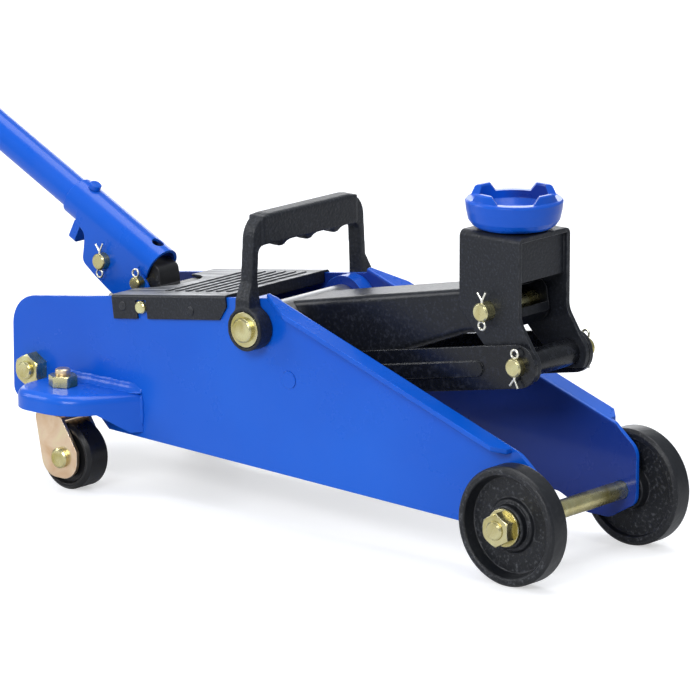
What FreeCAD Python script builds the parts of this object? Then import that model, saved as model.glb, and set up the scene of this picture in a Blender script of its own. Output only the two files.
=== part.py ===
import FreeCAD, Part
import os
import re
import Sketcher

# A light hydraulic trolley jack: two pressed side plates carry a lifting arm with
# parallel links, a level saddle bracket, a hydraulic unit worked by a tubular handle,
# two cast front wheels, two swivel casters and a carrying handle.
# X points to the saddle end, Y to the left, Z up, with the floor at Z = 0.
# Side outlines are measured from the floor point under the front axle.

SIZES = {
    "axle_x": 388.095,
    # front wheels and axle
    "wheel_radius": 38, "wheel_face": 70.65, "wheel_width": 17, "wheel_dish": 32.5,
    "dish_floor": 62.5, "hub_radius": 16.5, "hub_step": 65.2, "nose_radius": 13.6, "hub_face": 70,
    "axle_radius": 6, "axle_half": 82, "wheel_gap": 3.2, "spin_fit": 0.05, "move_gap": 0.3,
    "nut_flats": 19, "nut_height": 8.2, "washer_radius": 12, "washer_depth": 1.6,
    # side plates
    "plate_face": 50, "plate_wall": 3, "flange_face": 62.5, "slope_base": 78.9,
    "slope_fall": 0.34, "plate_rear": -439, "plate_rear_top": 115.5, "plate_peak_x": -206,
    "plate_peak_z": 148.4, "plate_sill": 46, "plate_nose": 12,
    "boss_radius": 18.5, "boss_inner": 36,
    # lift arm and parallel links
    "pivot_x": -221, "pivot_z": 127.5, "shaft_radius": 8, "shaft_half": 65.5,
    "arm_length": 173.5, "arm_rest": 10.63, "arm_half": 22, "arm_wall": 3,
    "arm_top_rear": 11.5, "arm_top_front": 14.5, "sleeve_radius": 13, "sleeve_half": 35.6,
    "lever": 38, "lever_angle": -104.38, "roller_radius": 9, "thrust_radius": 5.5,
    "spring_lever": 56, "hook_radius": 2.5, "hook_reach": 13.7,
    "link_dx": 27, "link_dz": -31, "link_width": 13.8, "link_inner": 26.3, "link_wall": 3,
    "link_pin_radius": 6,
    # saddle bracket and saddle
    "bracket_half": 25.65, "bracket_wall": 3, "bracket_top": 48.6, "pin_radius": 6,
    "upper_pin_half": 34, "lower_pin_half": 38.5, "lower_pin_shift": 3.5, "lug_radius": 13.6, "spacer_radius": 8.5,
    "saddle_rim": 30.8, "saddle_foot": 22.5, "saddle_height": 24.2, "saddle_floor": 8.5,
    "saddle_bowl": 17.5, "notch_drop": 5.4, "notch_width": 22, "notch_mouth": 31, "stem_radius": 10,
    "notch_turn": 40.5,
    # hydraulic unit
    "unit_z": 92, "unit_front": -335, "unit_half": 30, "reservoir_radius": 25,
    "reservoir_front": -290, "cylinder_radius": 18, "bore_radius": 14,
    "gland_back": -271, "gland_front": -263.5, "ram_radius": 12.5, "ram_face": -233.1,
    "rear_bolt_x": -418, "rear_bolt_z": 69.3, "unit_bolt_x": -320.5, "unit_bolt_z": 125.4,
    "valve_z": 92,
    # pump and handle
    "pump_x": -357, "pump_z": 130, "handle_rise": 26.65, "tube_axis": 11.93,
    "tube_radius": 11.1, "socket_radius": 13.3, "socket_bore": 11.3, "mouth": -82,
    "drive_x": -33.7, "drive_z": -5.4, "drive_radius": 5.5, "pump_pin_radius": 4.5,
    "handle_end": -512, "grip_radius": 14, "grip_length": 112, "plunger_x": -381,
    "plunger_radius": 6, "plunger_head": 11, "plunger_top": 134.4,
    # casters
    "stud_x": -375.5, "stud_y": 68.9, "stud_radius": 5, "ear_top": 67.2, "ear_wall": 2.5,
    "ear_reach": 96, "caster_trail": 10.2, "caster_radius": 22.4, "caster_width": 20,
    "fork_half": 13.4, "fork_inner": 10.9, "fork_top": 50, "race_radius": 17,
    "rivet_radius": 4,
    # top cover
    "cover_x": -347, "cover_z": 128.6, "cover_tilt": -8, "cover_length": 101,
    "cover_wall": 1.6, "cover_half": 51.8, "cover_skirt": -14.5,
    # carrying handle
    "eye_radius": 14.2, "eye_inner": 50.4, "eye_face": 63, "eye_recess": 11.8,
    "leg_outer": 53.6, "leg_foot": 58.8, "leg_inner": 50.4, "leg_half": 5, "leg_back": -3.5,
    "grip_top": 72.9, "grip_under": 53, "cusp_drop": 3.6, "cusp_pitch": 26.6,
}

doc = FreeCAD.newDocument("TrolleyJack")
sheet = doc.addObject("Spreadsheet::Sheet", "Size")
for row, (alias, size) in enumerate(SIZES.items(), start=1):
    sheet.set("A%d" % row, alias)
    sheet.set("B%d" % row, str(size))
    sheet.setAlias("B%d" % row, alias)
doc.recompute()

nodes = []


# ---------------------------------------------------------------- building helpers

def linked(expression):
    """Point every alias in an expression at the spreadsheet."""
    def cell(word):
        return "Size." + word.group() if word.group() in SIZES else word.group()
    return re.sub(r"[a-z_]+", cell, str(expression))


def number(expression):
    """The present value of an expression of sheet sizes."""
    return float(sheet.evalExpression(linked(expression)))


def place(item, at, turn=None, angle="0"):
    """Tie an object's place to the sheet, measured from under the front axle."""
    if turn:
        item.Placement.Rotation = FreeCAD.Rotation(FreeCAD.Vector(*turn), 1.0)
        item.setExpression("Placement.Rotation.Angle", linked(angle))
    item.setExpression("Placement.Base.x", linked("axle_x + (%s)" % at[0]))
    item.setExpression("Placement.Base.y", linked(at[1]))
    item.setExpression("Placement.Base.z", linked(at[2]))


def new_body(label, at=("0", "0", "0"), turn=None, angle="0", node=True):
    """An empty body of its own, kept as a node unless it is only a tool."""
    body = doc.addObject("PartDesign::Body", label)
    place(body, at, turn, angle)
    if node:
        nodes.append(body)
    return body


PLANES = {"side": "XZ_Plane", "end": "YZ_Plane", "top": "XY_Plane"}


def new_sketch(body, view, offset="0"):
    """A sketch on one of the body's own origin planes."""
    sketch = body.newObject("Sketcher::SketchObject", body.Name + "_sketch")
    plane = [item for item in body.Origin.OriginFeatures if item.Role == PLANES[view]][0]
    sketch.AttachmentSupport = [(plane, "")]
    sketch.MapMode = "FlatFace"
    sketch.setExpression("AttachmentOffset.Base.z", linked(offset))
    return sketch


def fix_point(sketch, index, end, x, y):
    """Hold one point of a sketch at two expressions."""
    for kind, expression in (("DistanceX", x), ("DistanceY", y)):
        rule = Sketcher.Constraint(kind, -1, 1, index, end, number(expression))
        sketch.setExpression("Constraints[%d]" % sketch.addConstraint(rule), linked(expression))


def polygon(sketch, corners):
    """A closed outline through corners given as expressions."""
    points = [FreeCAD.Vector(number(corner[0]), number(corner[1]), 0) for corner in corners]
    first = sketch.GeometryCount
    count = len(points)
    for index in range(count):
        line = Part.LineSegment(points[index], points[(index + 1) % count])
        sketch.addGeometry(line, False)
    for index in range(count):
        after = first + (index + 1) % count
        sketch.addConstraint(Sketcher.Constraint("Coincident", first + index, 2, after, 1))
    for index, corner in enumerate(corners):
        fix_point(sketch, first + index, 1, corner[0], corner[1])
    return sketch


def circle(sketch, x, y, radius):
    """A circle held at a centre and a radius from the sheet."""
    centre = FreeCAD.Vector(number(x), number(y), 0)
    round_edge = Part.Circle(centre, FreeCAD.Vector(0, 0, 1), number(radius))
    index = sketch.addGeometry(round_edge, False)
    fix_point(sketch, index, 3, x, y)
    size = sketch.addConstraint(Sketcher.Constraint("Radius", index, number(radius)))
    sketch.setExpression("Constraints[%d]" % size, linked(radius))
    return sketch


def settle(feature):
    """Recompute, and stop at once if a feature has failed."""
    doc.recompute()
    if feature.Shape.isNull() or "Invalid" in feature.State:
        raise RuntimeError("%s has failed" % feature.Name)
    return feature


def pad(body, sketch, depth, both=False):
    """Extrude a sketch along its normal, or evenly to both sides."""
    feature = body.newObject("PartDesign::Pad", body.Name + "_pad")
    feature.Profile = sketch
    feature.setExpression("Length", linked(depth))
    if both:
        feature.SideType = "Symmetric"
    return settle(feature)


def cut(body, sketch, depth=None, reverse=False, both=False):
    """Pocket a sketch: right through, to a depth, or evenly to both sides."""
    before = body.Shape.Volume
    feature = body.newObject("PartDesign::Pocket", body.Name + "_pocket")
    feature.Profile = sketch
    if depth is None:
        feature.Type = "ThroughAll"
        feature.SideType = "Symmetric"
    else:
        feature.setExpression("Length", linked(depth))
        feature.Reversed = reverse
        if both:
            feature.SideType = "Symmetric"
    settle(feature)
    if body.Shape.Volume > before - 0.01:
        raise RuntimeError("a pocket of %s removes nothing" % body.Label)
    return feature


def fillet(body, radius, wanted):
    """Round the edges of a body that a test picks out."""
    names = [
        "Edge%d" % index
        for index, edge in enumerate(body.Tip.Shape.Edges, start=1)
        if wanted(edge)
    ]
    if not names:
        raise RuntimeError("no edge of %s to round" % body.Label)
    base = body.Tip
    feature = body.newObject("PartDesign::Fillet", body.Name + "_fillet")
    feature.Base = (base, names)
    feature.setExpression("Radius", linked(radius))
    return settle(feature)


AXES = {"side": ("x", "z"), "end": ("y", "z"), "top": ("x", "y")}


def at_corner(view, x, y):
    """A test for straight edges that stand on one corner of an outline."""
    across, up = AXES[view]

    def wanted(edge):
        if edge.Curve.TypeId != "Part::GeomLine" or edge.Length < 0.5:
            return False
        ends = [vertex.Point for vertex in edge.Vertexes]
        return all(
            abs(getattr(end, across) - number(x)) < 0.01 and abs(getattr(end, up) - number(y)) < 0.01
            for end in ends
        )
    return wanted


def pad_outline(body, view, offset, corners, depth, both=False):
    """Pad an outline, then round each corner that gives a third value, its radius."""
    feature = pad(body, polygon(new_sketch(body, view, offset), corners), depth, both)
    for corner in corners:
        if len(corner) > 2:
            feature = fillet(body, corner[2], at_corner(view, corner[0], corner[1]))
    return feature


def along(direction, **near):
    """A test for straight edges along one axis whose middle lies near given coordinates."""
    def wanted(edge):
        if edge.Curve.TypeId != "Part::GeomLine":
            return False
        ends = [vertex.Point for vertex in edge.Vertexes]
        run = ends[1].sub(ends[0])
        if abs(getattr(run, direction)) < 0.9 * run.Length:
            return False
        middle = ends[0].add(ends[1]).multiply(0.5)
        return all(
            low - 0.01 <= getattr(middle, name) <= high + 0.01
            for name, (low, high) in near.items()
        )
    return wanted


def turned(label, axis, profile, at, node=True, turn=None, angle="0"):
    """A solid of revolution from (along, radius) corners about its own axis."""
    body = new_body(label, at, turn, angle, node)
    revolve(body, axis, profile)
    return body


def revolve(body, axis, profile):
    """Add a turned shape to a body."""
    view = "end" if axis == "y" else "side"
    corners = [(radius, along_axis) for along_axis, radius in profile] if axis == "z" else profile
    sketch = polygon(new_sketch(body, view), corners)
    feature = body.newObject("PartDesign::Revolution", body.Name + "_turning")
    feature.Profile = sketch
    feature.ReferenceAxis = (sketch, ["V_Axis" if axis == "z" else "H_Axis"])
    feature.Angle = 360
    return settle(feature)


def joined(kind, label, first, second):
    """A boolean of two solids."""
    result = doc.addObject("Part::" + kind, label)
    result.Base = first
    result.Tool = second
    doc.recompute()
    return result


def group(label, members):
    """Separate like solids that share one node."""
    bundle = doc.addObject("Part::Compound", label)
    bundle.Links = members
    doc.recompute()
    nodes.append(bundle)
    return bundle


def hex_nut(label, flats, height, bore, at, axis="y", side=1):
    """A hexagon nut whose outer corners are chamfered, outwards along one side of its axis."""
    view = "end" if axis == "x" else ("side" if axis == "y" else "top")
    body = new_body(label + "_hexagon", at, node=False)
    corner = "(%s) / sqrt(3)" % flats
    six = [
        ("%s * cos(%d)" % (corner, 60 * index + 30), "%s * sin(%d)" % (corner, 60 * index + 30))
        for index in range(6)
    ]
    start = "0"
    if axis == "y" and side > 0:
        start = "-(%s)" % height
    pad(body, polygon(new_sketch(body, view, start), six), height)
    cut(body, circle(new_sketch(body, view), "0", "0", bore))
    lathe_axis = axis
    sign = "" if side > 0 else "-"
    rim = "(%s) / 2 * 1.02" % flats
    wide = "(%s) * 0.62" % flats
    shape = turned(
        label + "_lathe", lathe_axis,
        [
            ("0", "0"),
            ("0", wide),
            (sign + "(%s) * 0.82" % height, wide),
            (sign + "(%s)" % height, rim),
            (sign + "(%s)" % height, "0"),
        ],
        at, node=False,
    )
    return joined("Common", label, body, shape)


def cotter(label, x, y, z, radius, wire=1.0, ring_up=True):
    """A split pin through a cross-drilled pin end: a ring, a shank and two spread tails."""
    ring_radius = 2.6
    reach = number(radius)
    centre = FreeCAD.Vector(number("axle_x + (%s)" % x), number(y), number(z))
    top = centre + FreeCAD.Vector(0, 0, reach + ring_radius)
    ring = Part.makeTorus(ring_radius, wire * 0.8, top, FreeCAD.Vector(0, 1, 0))
    shank = Part.makeCylinder(wire * 0.9, 2 * reach + 2.2, top - FreeCAD.Vector(0, 0, ring_radius))
    shank.rotate(top - FreeCAD.Vector(0, 0, ring_radius), FreeCAD.Vector(1, 0, 0), 180)
    foot = centre - FreeCAD.Vector(0, 0, reach + 1.2)
    left = Part.makeCylinder(wire * 0.75, 6.5, foot, FreeCAD.Vector(0.45, 0, -0.9))
    right = Part.makeCylinder(wire * 0.75, 6.0, foot, FreeCAD.Vector(-0.6, 0, -0.8))
    solid = ring.fuse([shank, left, right]).removeSplitter()
    if not ring_up:
        solid.rotate(centre, FreeCAD.Vector(1, 0, 0), 180)
    feature = doc.addObject("Part::Feature", label)
    feature.Shape = solid
    return feature


# ---------------------------------------------------------------- side plates

def side_plate(name, side):
    """A pressed steel side plate with its sloping front edge flanged outwards."""
    plate = new_body("side_plate_" + name)
    inner = "plate_face - plate_wall" if side < 0 else "-plate_face"
    outline = [
        ("plate_rear", "plate_sill", "8"),
        ("plate_rear", "plate_rear_top", "22"),
        ("plate_peak_x", "plate_peak_z", "6"),
        ("-6", "slope_base + slope_fall * 6", "7"),
        ("plate_nose", "66", "12"),
        ("plate_nose", "31", "9"),
        ("-9", "18.5", "6"),
        ("-27", "18.5", "8"),
        ("-50", "28.6", "12"),
        ("-352", "37.8"),
        ("-361", "plate_sill"),
    ]
    pad_outline(plate, "side", inner, outline, "plate_wall")
    flange_offset = "plate_face - plate_wall" if side < 0 else "-flange_face"
    strip = [
        ("-211", "slope_base + slope_fall * 211"),
        ("-11", "slope_base + slope_fall * 11"),
        ("-11", "slope_base + slope_fall * 11 - plate_wall * 1.056"),
        ("-211", "slope_base + slope_fall * 211 - plate_wall * 1.056"),
    ]
    flange_width = "flange_face - plate_face + plate_wall"
    pad(plate, polygon(new_sketch(plate, "side", flange_offset), strip), flange_width)
    sign = "" if side > 0 else "-"
    relief = [
        ("-213", sign + "(plate_face + 0.5)"),
        ("-186", sign + "(flange_face + 1)"),
        ("-213", sign + "(flange_face + 1)"),
    ]
    cut(plate, polygon(new_sketch(plate, "top", "200"), relief), "100")
    tip = [
        ("-19", sign + "(flange_face + 1)"),
        ("-10", sign + "(plate_face + 4)"),
        ("-10", sign + "(flange_face + 1)"),
    ]
    cut(plate, polygon(new_sketch(plate, "top", "100"), tip), "40")
    top_inner = abs(number("plate_face - plate_wall"))
    fillet(plate, "2.2", lambda edge: flange_bend(edge, top_inner))
    for x, z, radius in (
        ("pivot_x", "pivot_z", "shaft_radius + spin_fit"),
        ("0", "wheel_radius", "axle_radius + spin_fit"),
        ("rear_bolt_x", "rear_bolt_z", "axle_radius + spin_fit"),
        ("pivot_x + link_dx", "pivot_z + link_dz", "link_pin_radius - 1.5"),
        ("unit_bolt_x", "unit_bolt_z", "3 + spin_fit"),
    ):
        cut(plate, circle(new_sketch(plate, "side"), x, z, radius))
    return plate


def flange_bend(edge, inner):
    """Whether an edge is the inner top edge along the sloping flange."""
    if edge.Curve.TypeId != "Part::GeomLine" or edge.Length < 100:
        return False
    ends = [vertex.Point for vertex in edge.Vertexes]
    run = ends[1].sub(ends[0])
    sloped = abs(abs(run.z / run.x) - number("slope_fall")) < 0.02 if run.x else False
    top = all(
        abs(end.z - number("slope_base") + number("slope_fall") * end.x) < 0.6 for end in ends
    )
    return sloped and top and abs(abs(ends[0].y) - inner) < 0.01


def pivot_boss(name, side):
    """A spacer tube welded inside each side plate around the lift shaft."""
    near, far = ("boss_inner", "plate_face - plate_wall") if side > 0 else (
        "-(plate_face - plate_wall)", "-boss_inner")
    return turned(
        "pivot_boss_" + name, "y",
        [
            (near, "shaft_radius + spin_fit"),
            (near, "boss_radius"),
            (far, "boss_radius"),
            (far, "shaft_radius + spin_fit"),
        ],
        ("pivot_x", "0", "pivot_z"),
    )


def caster_ear(name, side):
    """A pressed ear welded to the side plate, with a skirt, that carries a caster."""
    ear = new_body("caster_ear_" + name)
    sign = "" if side > 0 else "-"
    outline = [
        ("-404", sign + "plate_face"),
        ("-403", sign + "ear_reach", "22"),
        ("-350", sign + "ear_reach", "32"),
        ("-321", sign + "plate_face"),
    ]
    pad_outline(ear, "top", "41", outline, "ear_top - 41")
    roof = number("ear_top")
    wall = number("plate_face")
    fillet(ear, "6", lambda edge: all(
        abs(vertex.Point.z - roof) < 0.01 for vertex in edge.Vertexes
    ) and any(abs(vertex.Point.y) > wall + 0.01 for vertex in edge.Vertexes))
    inside = [
        ("-401.5", sign + "(plate_face - 1)"),
        ("-400.5", sign + "(ear_reach - 22)"),
        ("-399", sign + "(ear_reach - 14.5)"),
        ("-394.8", sign + "(ear_reach - 8.2)"),
        ("-388.5", sign + "(ear_reach - 4)"),
        ("-381", sign + "(ear_reach - ear_wall)"),
        ("-367.7", sign + "(ear_reach - ear_wall)"),
        ("-353.4", sign + "(ear_reach - 6.2)"),
        ("-342.7", sign + "(ear_reach - 16.3)"),
        ("-323.5", sign + "(plate_face - 1)"),
    ]
    hollow = polygon(new_sketch(ear, "top", "40"), inside)
    cut(ear, hollow, "ear_top - ear_wall - 40", reverse=True)
    drop = [("-410", "40"), ("-410", "54"), ("-338", "54.5"), ("-325", "40")]
    cut(ear, polygon(new_sketch(ear, "side"), drop))
    cut(ear, circle(new_sketch(ear, "top"), "stud_x", sign + "stud_y", "stud_radius + spin_fit"))
    return ear


# ---------------------------------------------------------------- cover and fixings

def top_cover():
    """A folded sheet cover over the hydraulic unit, hooked over two bolts."""
    cover = new_body("top_cover", ("cover_x", "0", "cover_z"), (0, 1, 0), "cover_tilt")
    section = [
        ("-cover_half", "cover_skirt"),
        ("-cover_half", "cover_wall", "2.4"),
        ("cover_half", "cover_wall", "2.4"),
        ("cover_half", "cover_skirt"),
        ("cover_half - cover_wall", "cover_skirt"),
        ("cover_half - cover_wall", "0"),
        ("-(cover_half - cover_wall)", "0"),
        ("-(cover_half - cover_wall)", "cover_skirt"),
    ]
    pad_outline(cover, "end", "0", section, "cover_length")
    lip = [
        ("-46", "-6.5", "3"),
        ("-46", "0.5"),
        ("46", "0.5"),
        ("46", "-6.5", "3"),
    ]
    pad_outline(cover, "end", "cover_length - cover_wall", lip, "cover_wall")
    slanted_front = [
        ("cover_length - 8", "cover_skirt - 1"),
        ("cover_length + 1", "-5"),
        ("cover_length + 1", "cover_skirt - 1"),
    ]
    cut(cover, polygon(new_sketch(cover, "side"), slanted_front))
    throat = circle(new_sketch(cover, "top"), "-2", "0", "27")
    cut(cover, throat)
    slot = [
        ("21.2", "cover_skirt - 1"),
        ("21.2", "-2"),
        ("30.4", "-2"),
        ("30.4", "cover_skirt - 1"),
    ]
    cut(cover, polygon(new_sketch(cover, "side"), slot))
    rib = [
        ("36", "-38"),
        ("39", "-38"),
        ("39", "38"),
        ("36", "38"),
    ]
    ridge = pad(cover, polygon(new_sketch(cover, "top", "cover_wall - 0.2"), rib), "1")
    pattern = cover.newObject("PartDesign::LinearPattern", "cover_ribs")
    pattern.Originals = [ridge]
    axis = [item for item in cover.Origin.OriginFeatures if item.Role == "X_Axis"][0]
    pattern.Direction = (axis, [""])
    pattern.Length = 54
    pattern.Occurrences = 7
    cover.Tip = pattern
    settle(pattern)
    return cover


def unit_bolts():
    """The two screws that hold the hydraulic unit's front bar between the plates."""
    pair = []
    for side, name in ((-1, "right"), (1, "left")):
        sign = "" if side > 0 else "-"
        pair.append(turned(
            "unit_bolt_" + name, "y",
            [
                (sign + "(plate_face - 14)", "0"),
                (sign + "(plate_face - 14)", "3"),
                (sign + "plate_face", "3"),
                (sign + "plate_face", "4.3"),
                (sign + "(plate_face + 3)", "4.3"),
                (sign + "(plate_face + 3.8)", "3.4"),
                (sign + "(plate_face + 3.8)", "0"),
            ],
            ("unit_bolt_x", "0", "unit_bolt_z"), node=False,
        ))
    group("unit_bolts", pair)


def pair_of_nuts(label, flats, height, bore, x, face, z):
    """Two like nuts, one on each outer face of the frame."""
    pair = [
        hex_nut(label + "_right", flats, height, bore, (x, "-(%s)" % face, z), "y", -1),
        hex_nut(label + "_left", flats, height, bore, (x, face, z), "y", 1),
    ]
    return group(label, pair)


def rod(label, x, z, radius, half, chamfer="1", node=True, at_y="0"):
    """A plain cross pin or bolt with chamfered ends."""
    return turned(
        label, "y",
        [
            ("-(%s)" % half, "0"),
            ("-(%s)" % half, "%s - %s" % (radius, chamfer)),
            ("-(%s) + %s" % (half, chamfer), radius),
            ("%s - %s" % (half, chamfer), radius),
            (half, "%s - %s" % (radius, chamfer)),
            (half, "0"),
        ],
        (x, at_y, z), node,
    )


def washers(label, x, z, inner, outer, near, far):
    """A flat ring on each side of the jack."""
    pair = []
    for name, start, end in (("right", "-(%s)" % far, "-(%s)" % near), ("left", near, far)):
        pair.append(turned(
            label + "_" + name, "y",
            [(start, inner), (start, outer), (end, outer), (end, inner)],
            (x, "0", z), node=False,
        ))
    group(label, pair)


# ---------------------------------------------------------------- wheels

def front_wheel(name, side):
    """A cast wheel with a dished outer face and a stepped round hub."""
    sign = "" if side > 0 else "-"
    back = "(wheel_face - wheel_width)"
    profile = [
        (back + " - 2.2", "axle_radius + spin_fit"),
        (back + " - 2.2", "hub_radius - 3"),
        (back + " + 4", "hub_radius - 2"),
        (back + " + 4", "wheel_dish - 1"),
        (back + " + 0.8", "wheel_dish"),
        (back + " + 0.8", "wheel_radius - 2"),
        (back + " + 2.6", "wheel_radius"),
        ("wheel_face - 2.4", "wheel_radius"),
        ("wheel_face - 0.6", "wheel_radius - 1.2"),
        ("wheel_face", "wheel_radius - 2.4"),
        ("wheel_face", "wheel_dish + 0.8"),
        ("wheel_face - 0.8", "wheel_dish"),
        ("dish_floor", "wheel_dish - 2"),
        ("dish_floor", "hub_radius + 1.2"),
        ("hub_step - 0.6", "hub_radius"),
        ("hub_step", "hub_radius - 1"),
        ("hub_step", "nose_radius + 0.4"),
        ("hub_face - 0.8", "nose_radius"),
        ("hub_face", "nose_radius - 0.8"),
        ("hub_face", "axle_radius + spin_fit"),
    ]
    signed = [(sign + "(%s)" % step, radius) for step, radius in profile]
    return turned("front_wheel_" + name, "y", signed, ("0", "0", "wheel_radius"))


def caster(name, side):
    """A swivel fork with its stud and race, a nut, a riveted axle and a wheel."""
    sign = "" if side > 0 else "-"
    at = ("stud_x", sign + "stud_y", "0")
    fork = new_body("caster_fork_" + name, at)
    leaning = [
        ("-12.6", "fork_top", "2.5"),
        ("-12.6", "fork_top - 4"),
        ("-5", "caster_radius - 14", "13"),
        ("24.2", "caster_radius - 14", "13"),
        ("24.2", "28"),
        ("10", "fork_top", "2.5"),
    ]
    pad_outline(fork, "side", "0", leaning, "2 * fork_half", both=True)
    tunnel = [
        ("-fork_inner", "-5"),
        ("-fork_inner", "fork_top - 2.5"),
        ("fork_inner", "fork_top - 2.5"),
        ("fork_inner", "-5"),
    ]
    cut(fork, polygon(new_sketch(fork, "end"), tunnel))
    cut(fork, circle(new_sketch(fork, "side"), "caster_trail", "caster_radius", "rivet_radius"))
    revolve(fork, "z", [
        ("fork_top - 1", "0"),
        ("fork_top - 1", "race_radius - 6"),
        ("fork_top + 3", "race_radius - 2"),
        ("fork_top + 6", "race_radius"),
        ("ear_top - ear_wall - 0.6", "race_radius"),
        ("ear_top - ear_wall - move_gap", "race_radius - 1"),
        ("ear_top - ear_wall - move_gap", "stud_radius"),
        ("ear_top + 11", "stud_radius"),
        ("ear_top + 11.8", "stud_radius - 0.8"),
        ("ear_top + 11.8", "0"),
    ])
    nut = hex_nut(
        "caster_nut_" + name, "17", "7.2", "stud_radius",
        ("stud_x", sign + "stud_y", "ear_top + move_gap"), "z", 1,
    )
    nodes.append(nut)
    turned(
        "caster_rivet_" + name, "y",
        [
            ("-(fork_half + 3.4)", "0"),
            ("-(fork_half + 3.4)", "5.6"),
            ("-(fork_half + 2.4)", "6.8"),
            ("-fork_half", "6.8"),
            ("-fork_half", "rivet_radius"),
            ("fork_half", "rivet_radius"),
            ("fork_half", "6.8"),
            ("fork_half + 2.4", "6.8"),
            ("fork_half + 3.4", "5.6"),
            ("fork_half + 3.4", "0"),
        ],
        ("stud_x + caster_trail", sign + "stud_y", "caster_radius"),
    )
    half = "caster_width / 2"
    turned(
        "caster_wheel_" + name, "y",
        [
            ("-(%s)" % half, "rivet_radius + spin_fit"),
            ("-(%s)" % half, "9"),
            ("-(%s) + 2.5" % half, "10"),
            ("-(%s) + 2.5" % half, "17"),
            ("-(%s)" % half, "18.5"),
            ("-(%s)" % half, "caster_radius - 2.2"),
            ("-(%s) + 2.4" % half, "caster_radius"),
            ("%s - 2.4" % half, "caster_radius"),
            (half, "caster_radius - 2.2"),
            (half, "18.5"),
            ("%s - 2.5" % half, "17"),
            ("%s - 2.5" % half, "10"),
            (half, "9"),
            (half, "rivet_radius + spin_fit"),
        ],
        ("stud_x + caster_trail", sign + "stud_y", "caster_radius"),
    )


# ---------------------------------------------------------------- lift arm and links

ARM_AT = ("pivot_x", "0", "pivot_z")
ARM_TURN = (0, -1, 0)
LEVER_X = "%s * cos(lever_angle)"
LEVER_Z = "%s * sin(lever_angle)"


def lift_arm():
    """A folded channel with a lever under its pivot that the ram pushes."""
    arm = new_body("lift_arm", ARM_AT, ARM_TURN, "arm_rest")
    outline = [
        ("-15.5", "arm_top_rear - 1", "10"),
        ("0", "arm_top_rear"),
        ("arm_length + 13", "arm_top_front", "9"),
        ("arm_length + 13", "-13.5", "10"),
        ("arm_length - 25", "-14.5", "20"),
        ("72", "-29", "20"),
        ("16", "-31", "10"),
        ("-3", "-63", "7"),
        ("-21.5", "-62", "7"),
        ("-21", "-38", "12"),
        ("-15.5", "-20", "10"),
    ]
    pad_outline(arm, "side", "0", outline, "2 * arm_half", both=True)
    half = number("arm_half")
    long_top = lambda edge: (
        edge.Curve.TypeId == "Part::GeomLine" and edge.Length > 100
        and all(vertex.Point.z > 5 for vertex in edge.Vertexes)
        and abs(abs(edge.Vertexes[0].Point.y) - half) < 0.01
    )
    fillet(arm, "4.6", long_top)
    inside = [
        ("-60", "-100"),
        ("-60", "40"),
        ("2", "40"),
        ("2", "arm_top_rear - arm_wall"),
        ("arm_length + 40", "arm_top_front + 0.7 - arm_wall"),
        ("arm_length + 40", "-100"),
    ]
    cut(arm, polygon(new_sketch(arm, "side"), inside), "2 * (arm_half - arm_wall)", both=True)
    strap = [
        ("arm_length - 40", "-14.5"),
        ("arm_length - 40", "-12"),
        ("arm_length + 4", "-11.5"),
        ("arm_length + 9.5", "-6"),
        ("arm_length + 9.5", "-2"),
        ("arm_length + 12.5", "-2"),
        ("arm_length + 12.5", "-7.5"),
        ("arm_length + 5", "-14"),
    ]
    strap_width = "2 * (arm_half - arm_wall + 0.5)"
    pad(arm, polygon(new_sketch(arm, "side"), strap), strap_width, both=True)
    for x, z, radius in (
        ("0", "0", "sleeve_radius"),
        ("arm_length", "0", "pin_radius + spin_fit"),
        (LEVER_X % "lever", LEVER_Z % "lever", "thrust_radius"),
        (LEVER_X % "spring_lever", LEVER_Z % "spring_lever", "hook_radius"),
    ):
        cut(arm, circle(new_sketch(arm, "side"), x, z, radius))
    return arm


def arm_sleeve():
    """The bearing tube welded through the arm, turning on the lift shaft."""
    turned(
        "arm_sleeve", "y",
        [
            ("-sleeve_half", "shaft_radius + spin_fit"),
            ("-sleeve_half", "sleeve_radius"),
            ("sleeve_half", "sleeve_radius"),
            ("sleeve_half", "shaft_radius + spin_fit"),
        ],
        ARM_AT,
    )


def thrust_parts():
    """The thrust pin with its roller, and the two studs that hold the return springs."""
    def on_lever(radius):
        reach = "pivot_x + %s * cos(lever_angle + arm_rest)" % radius
        height = "pivot_z + %s * sin(lever_angle + arm_rest)" % radius
        return reach, height
    x, z = on_lever("lever")
    rod("thrust_pin", x, z, "thrust_radius", "arm_half + 1.4", "0.8")
    turned(
        "thrust_roller", "y",
        [
            ("-11", "thrust_radius"),
            ("-11", "roller_radius - 0.8"),
            ("-10.2", "roller_radius"),
            ("10.2", "roller_radius"),
            ("11", "roller_radius - 0.8"),
            ("11", "thrust_radius"),
        ],
        (x, "0", z),
    )
    x, z = on_lever("spring_lever")
    studs = []
    for name, side in (("right", "-"), ("left", "")):
        middle = "%s(arm_half + 1.4 + hook_reach) / 2" % side
        half = "(arm_half + 1.4 - hook_reach) / 2"
        studs.append(rod("spring_stud_" + name, x, z, "hook_radius", half, "0.5", False, middle))
    group("spring_studs", studs)


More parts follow.
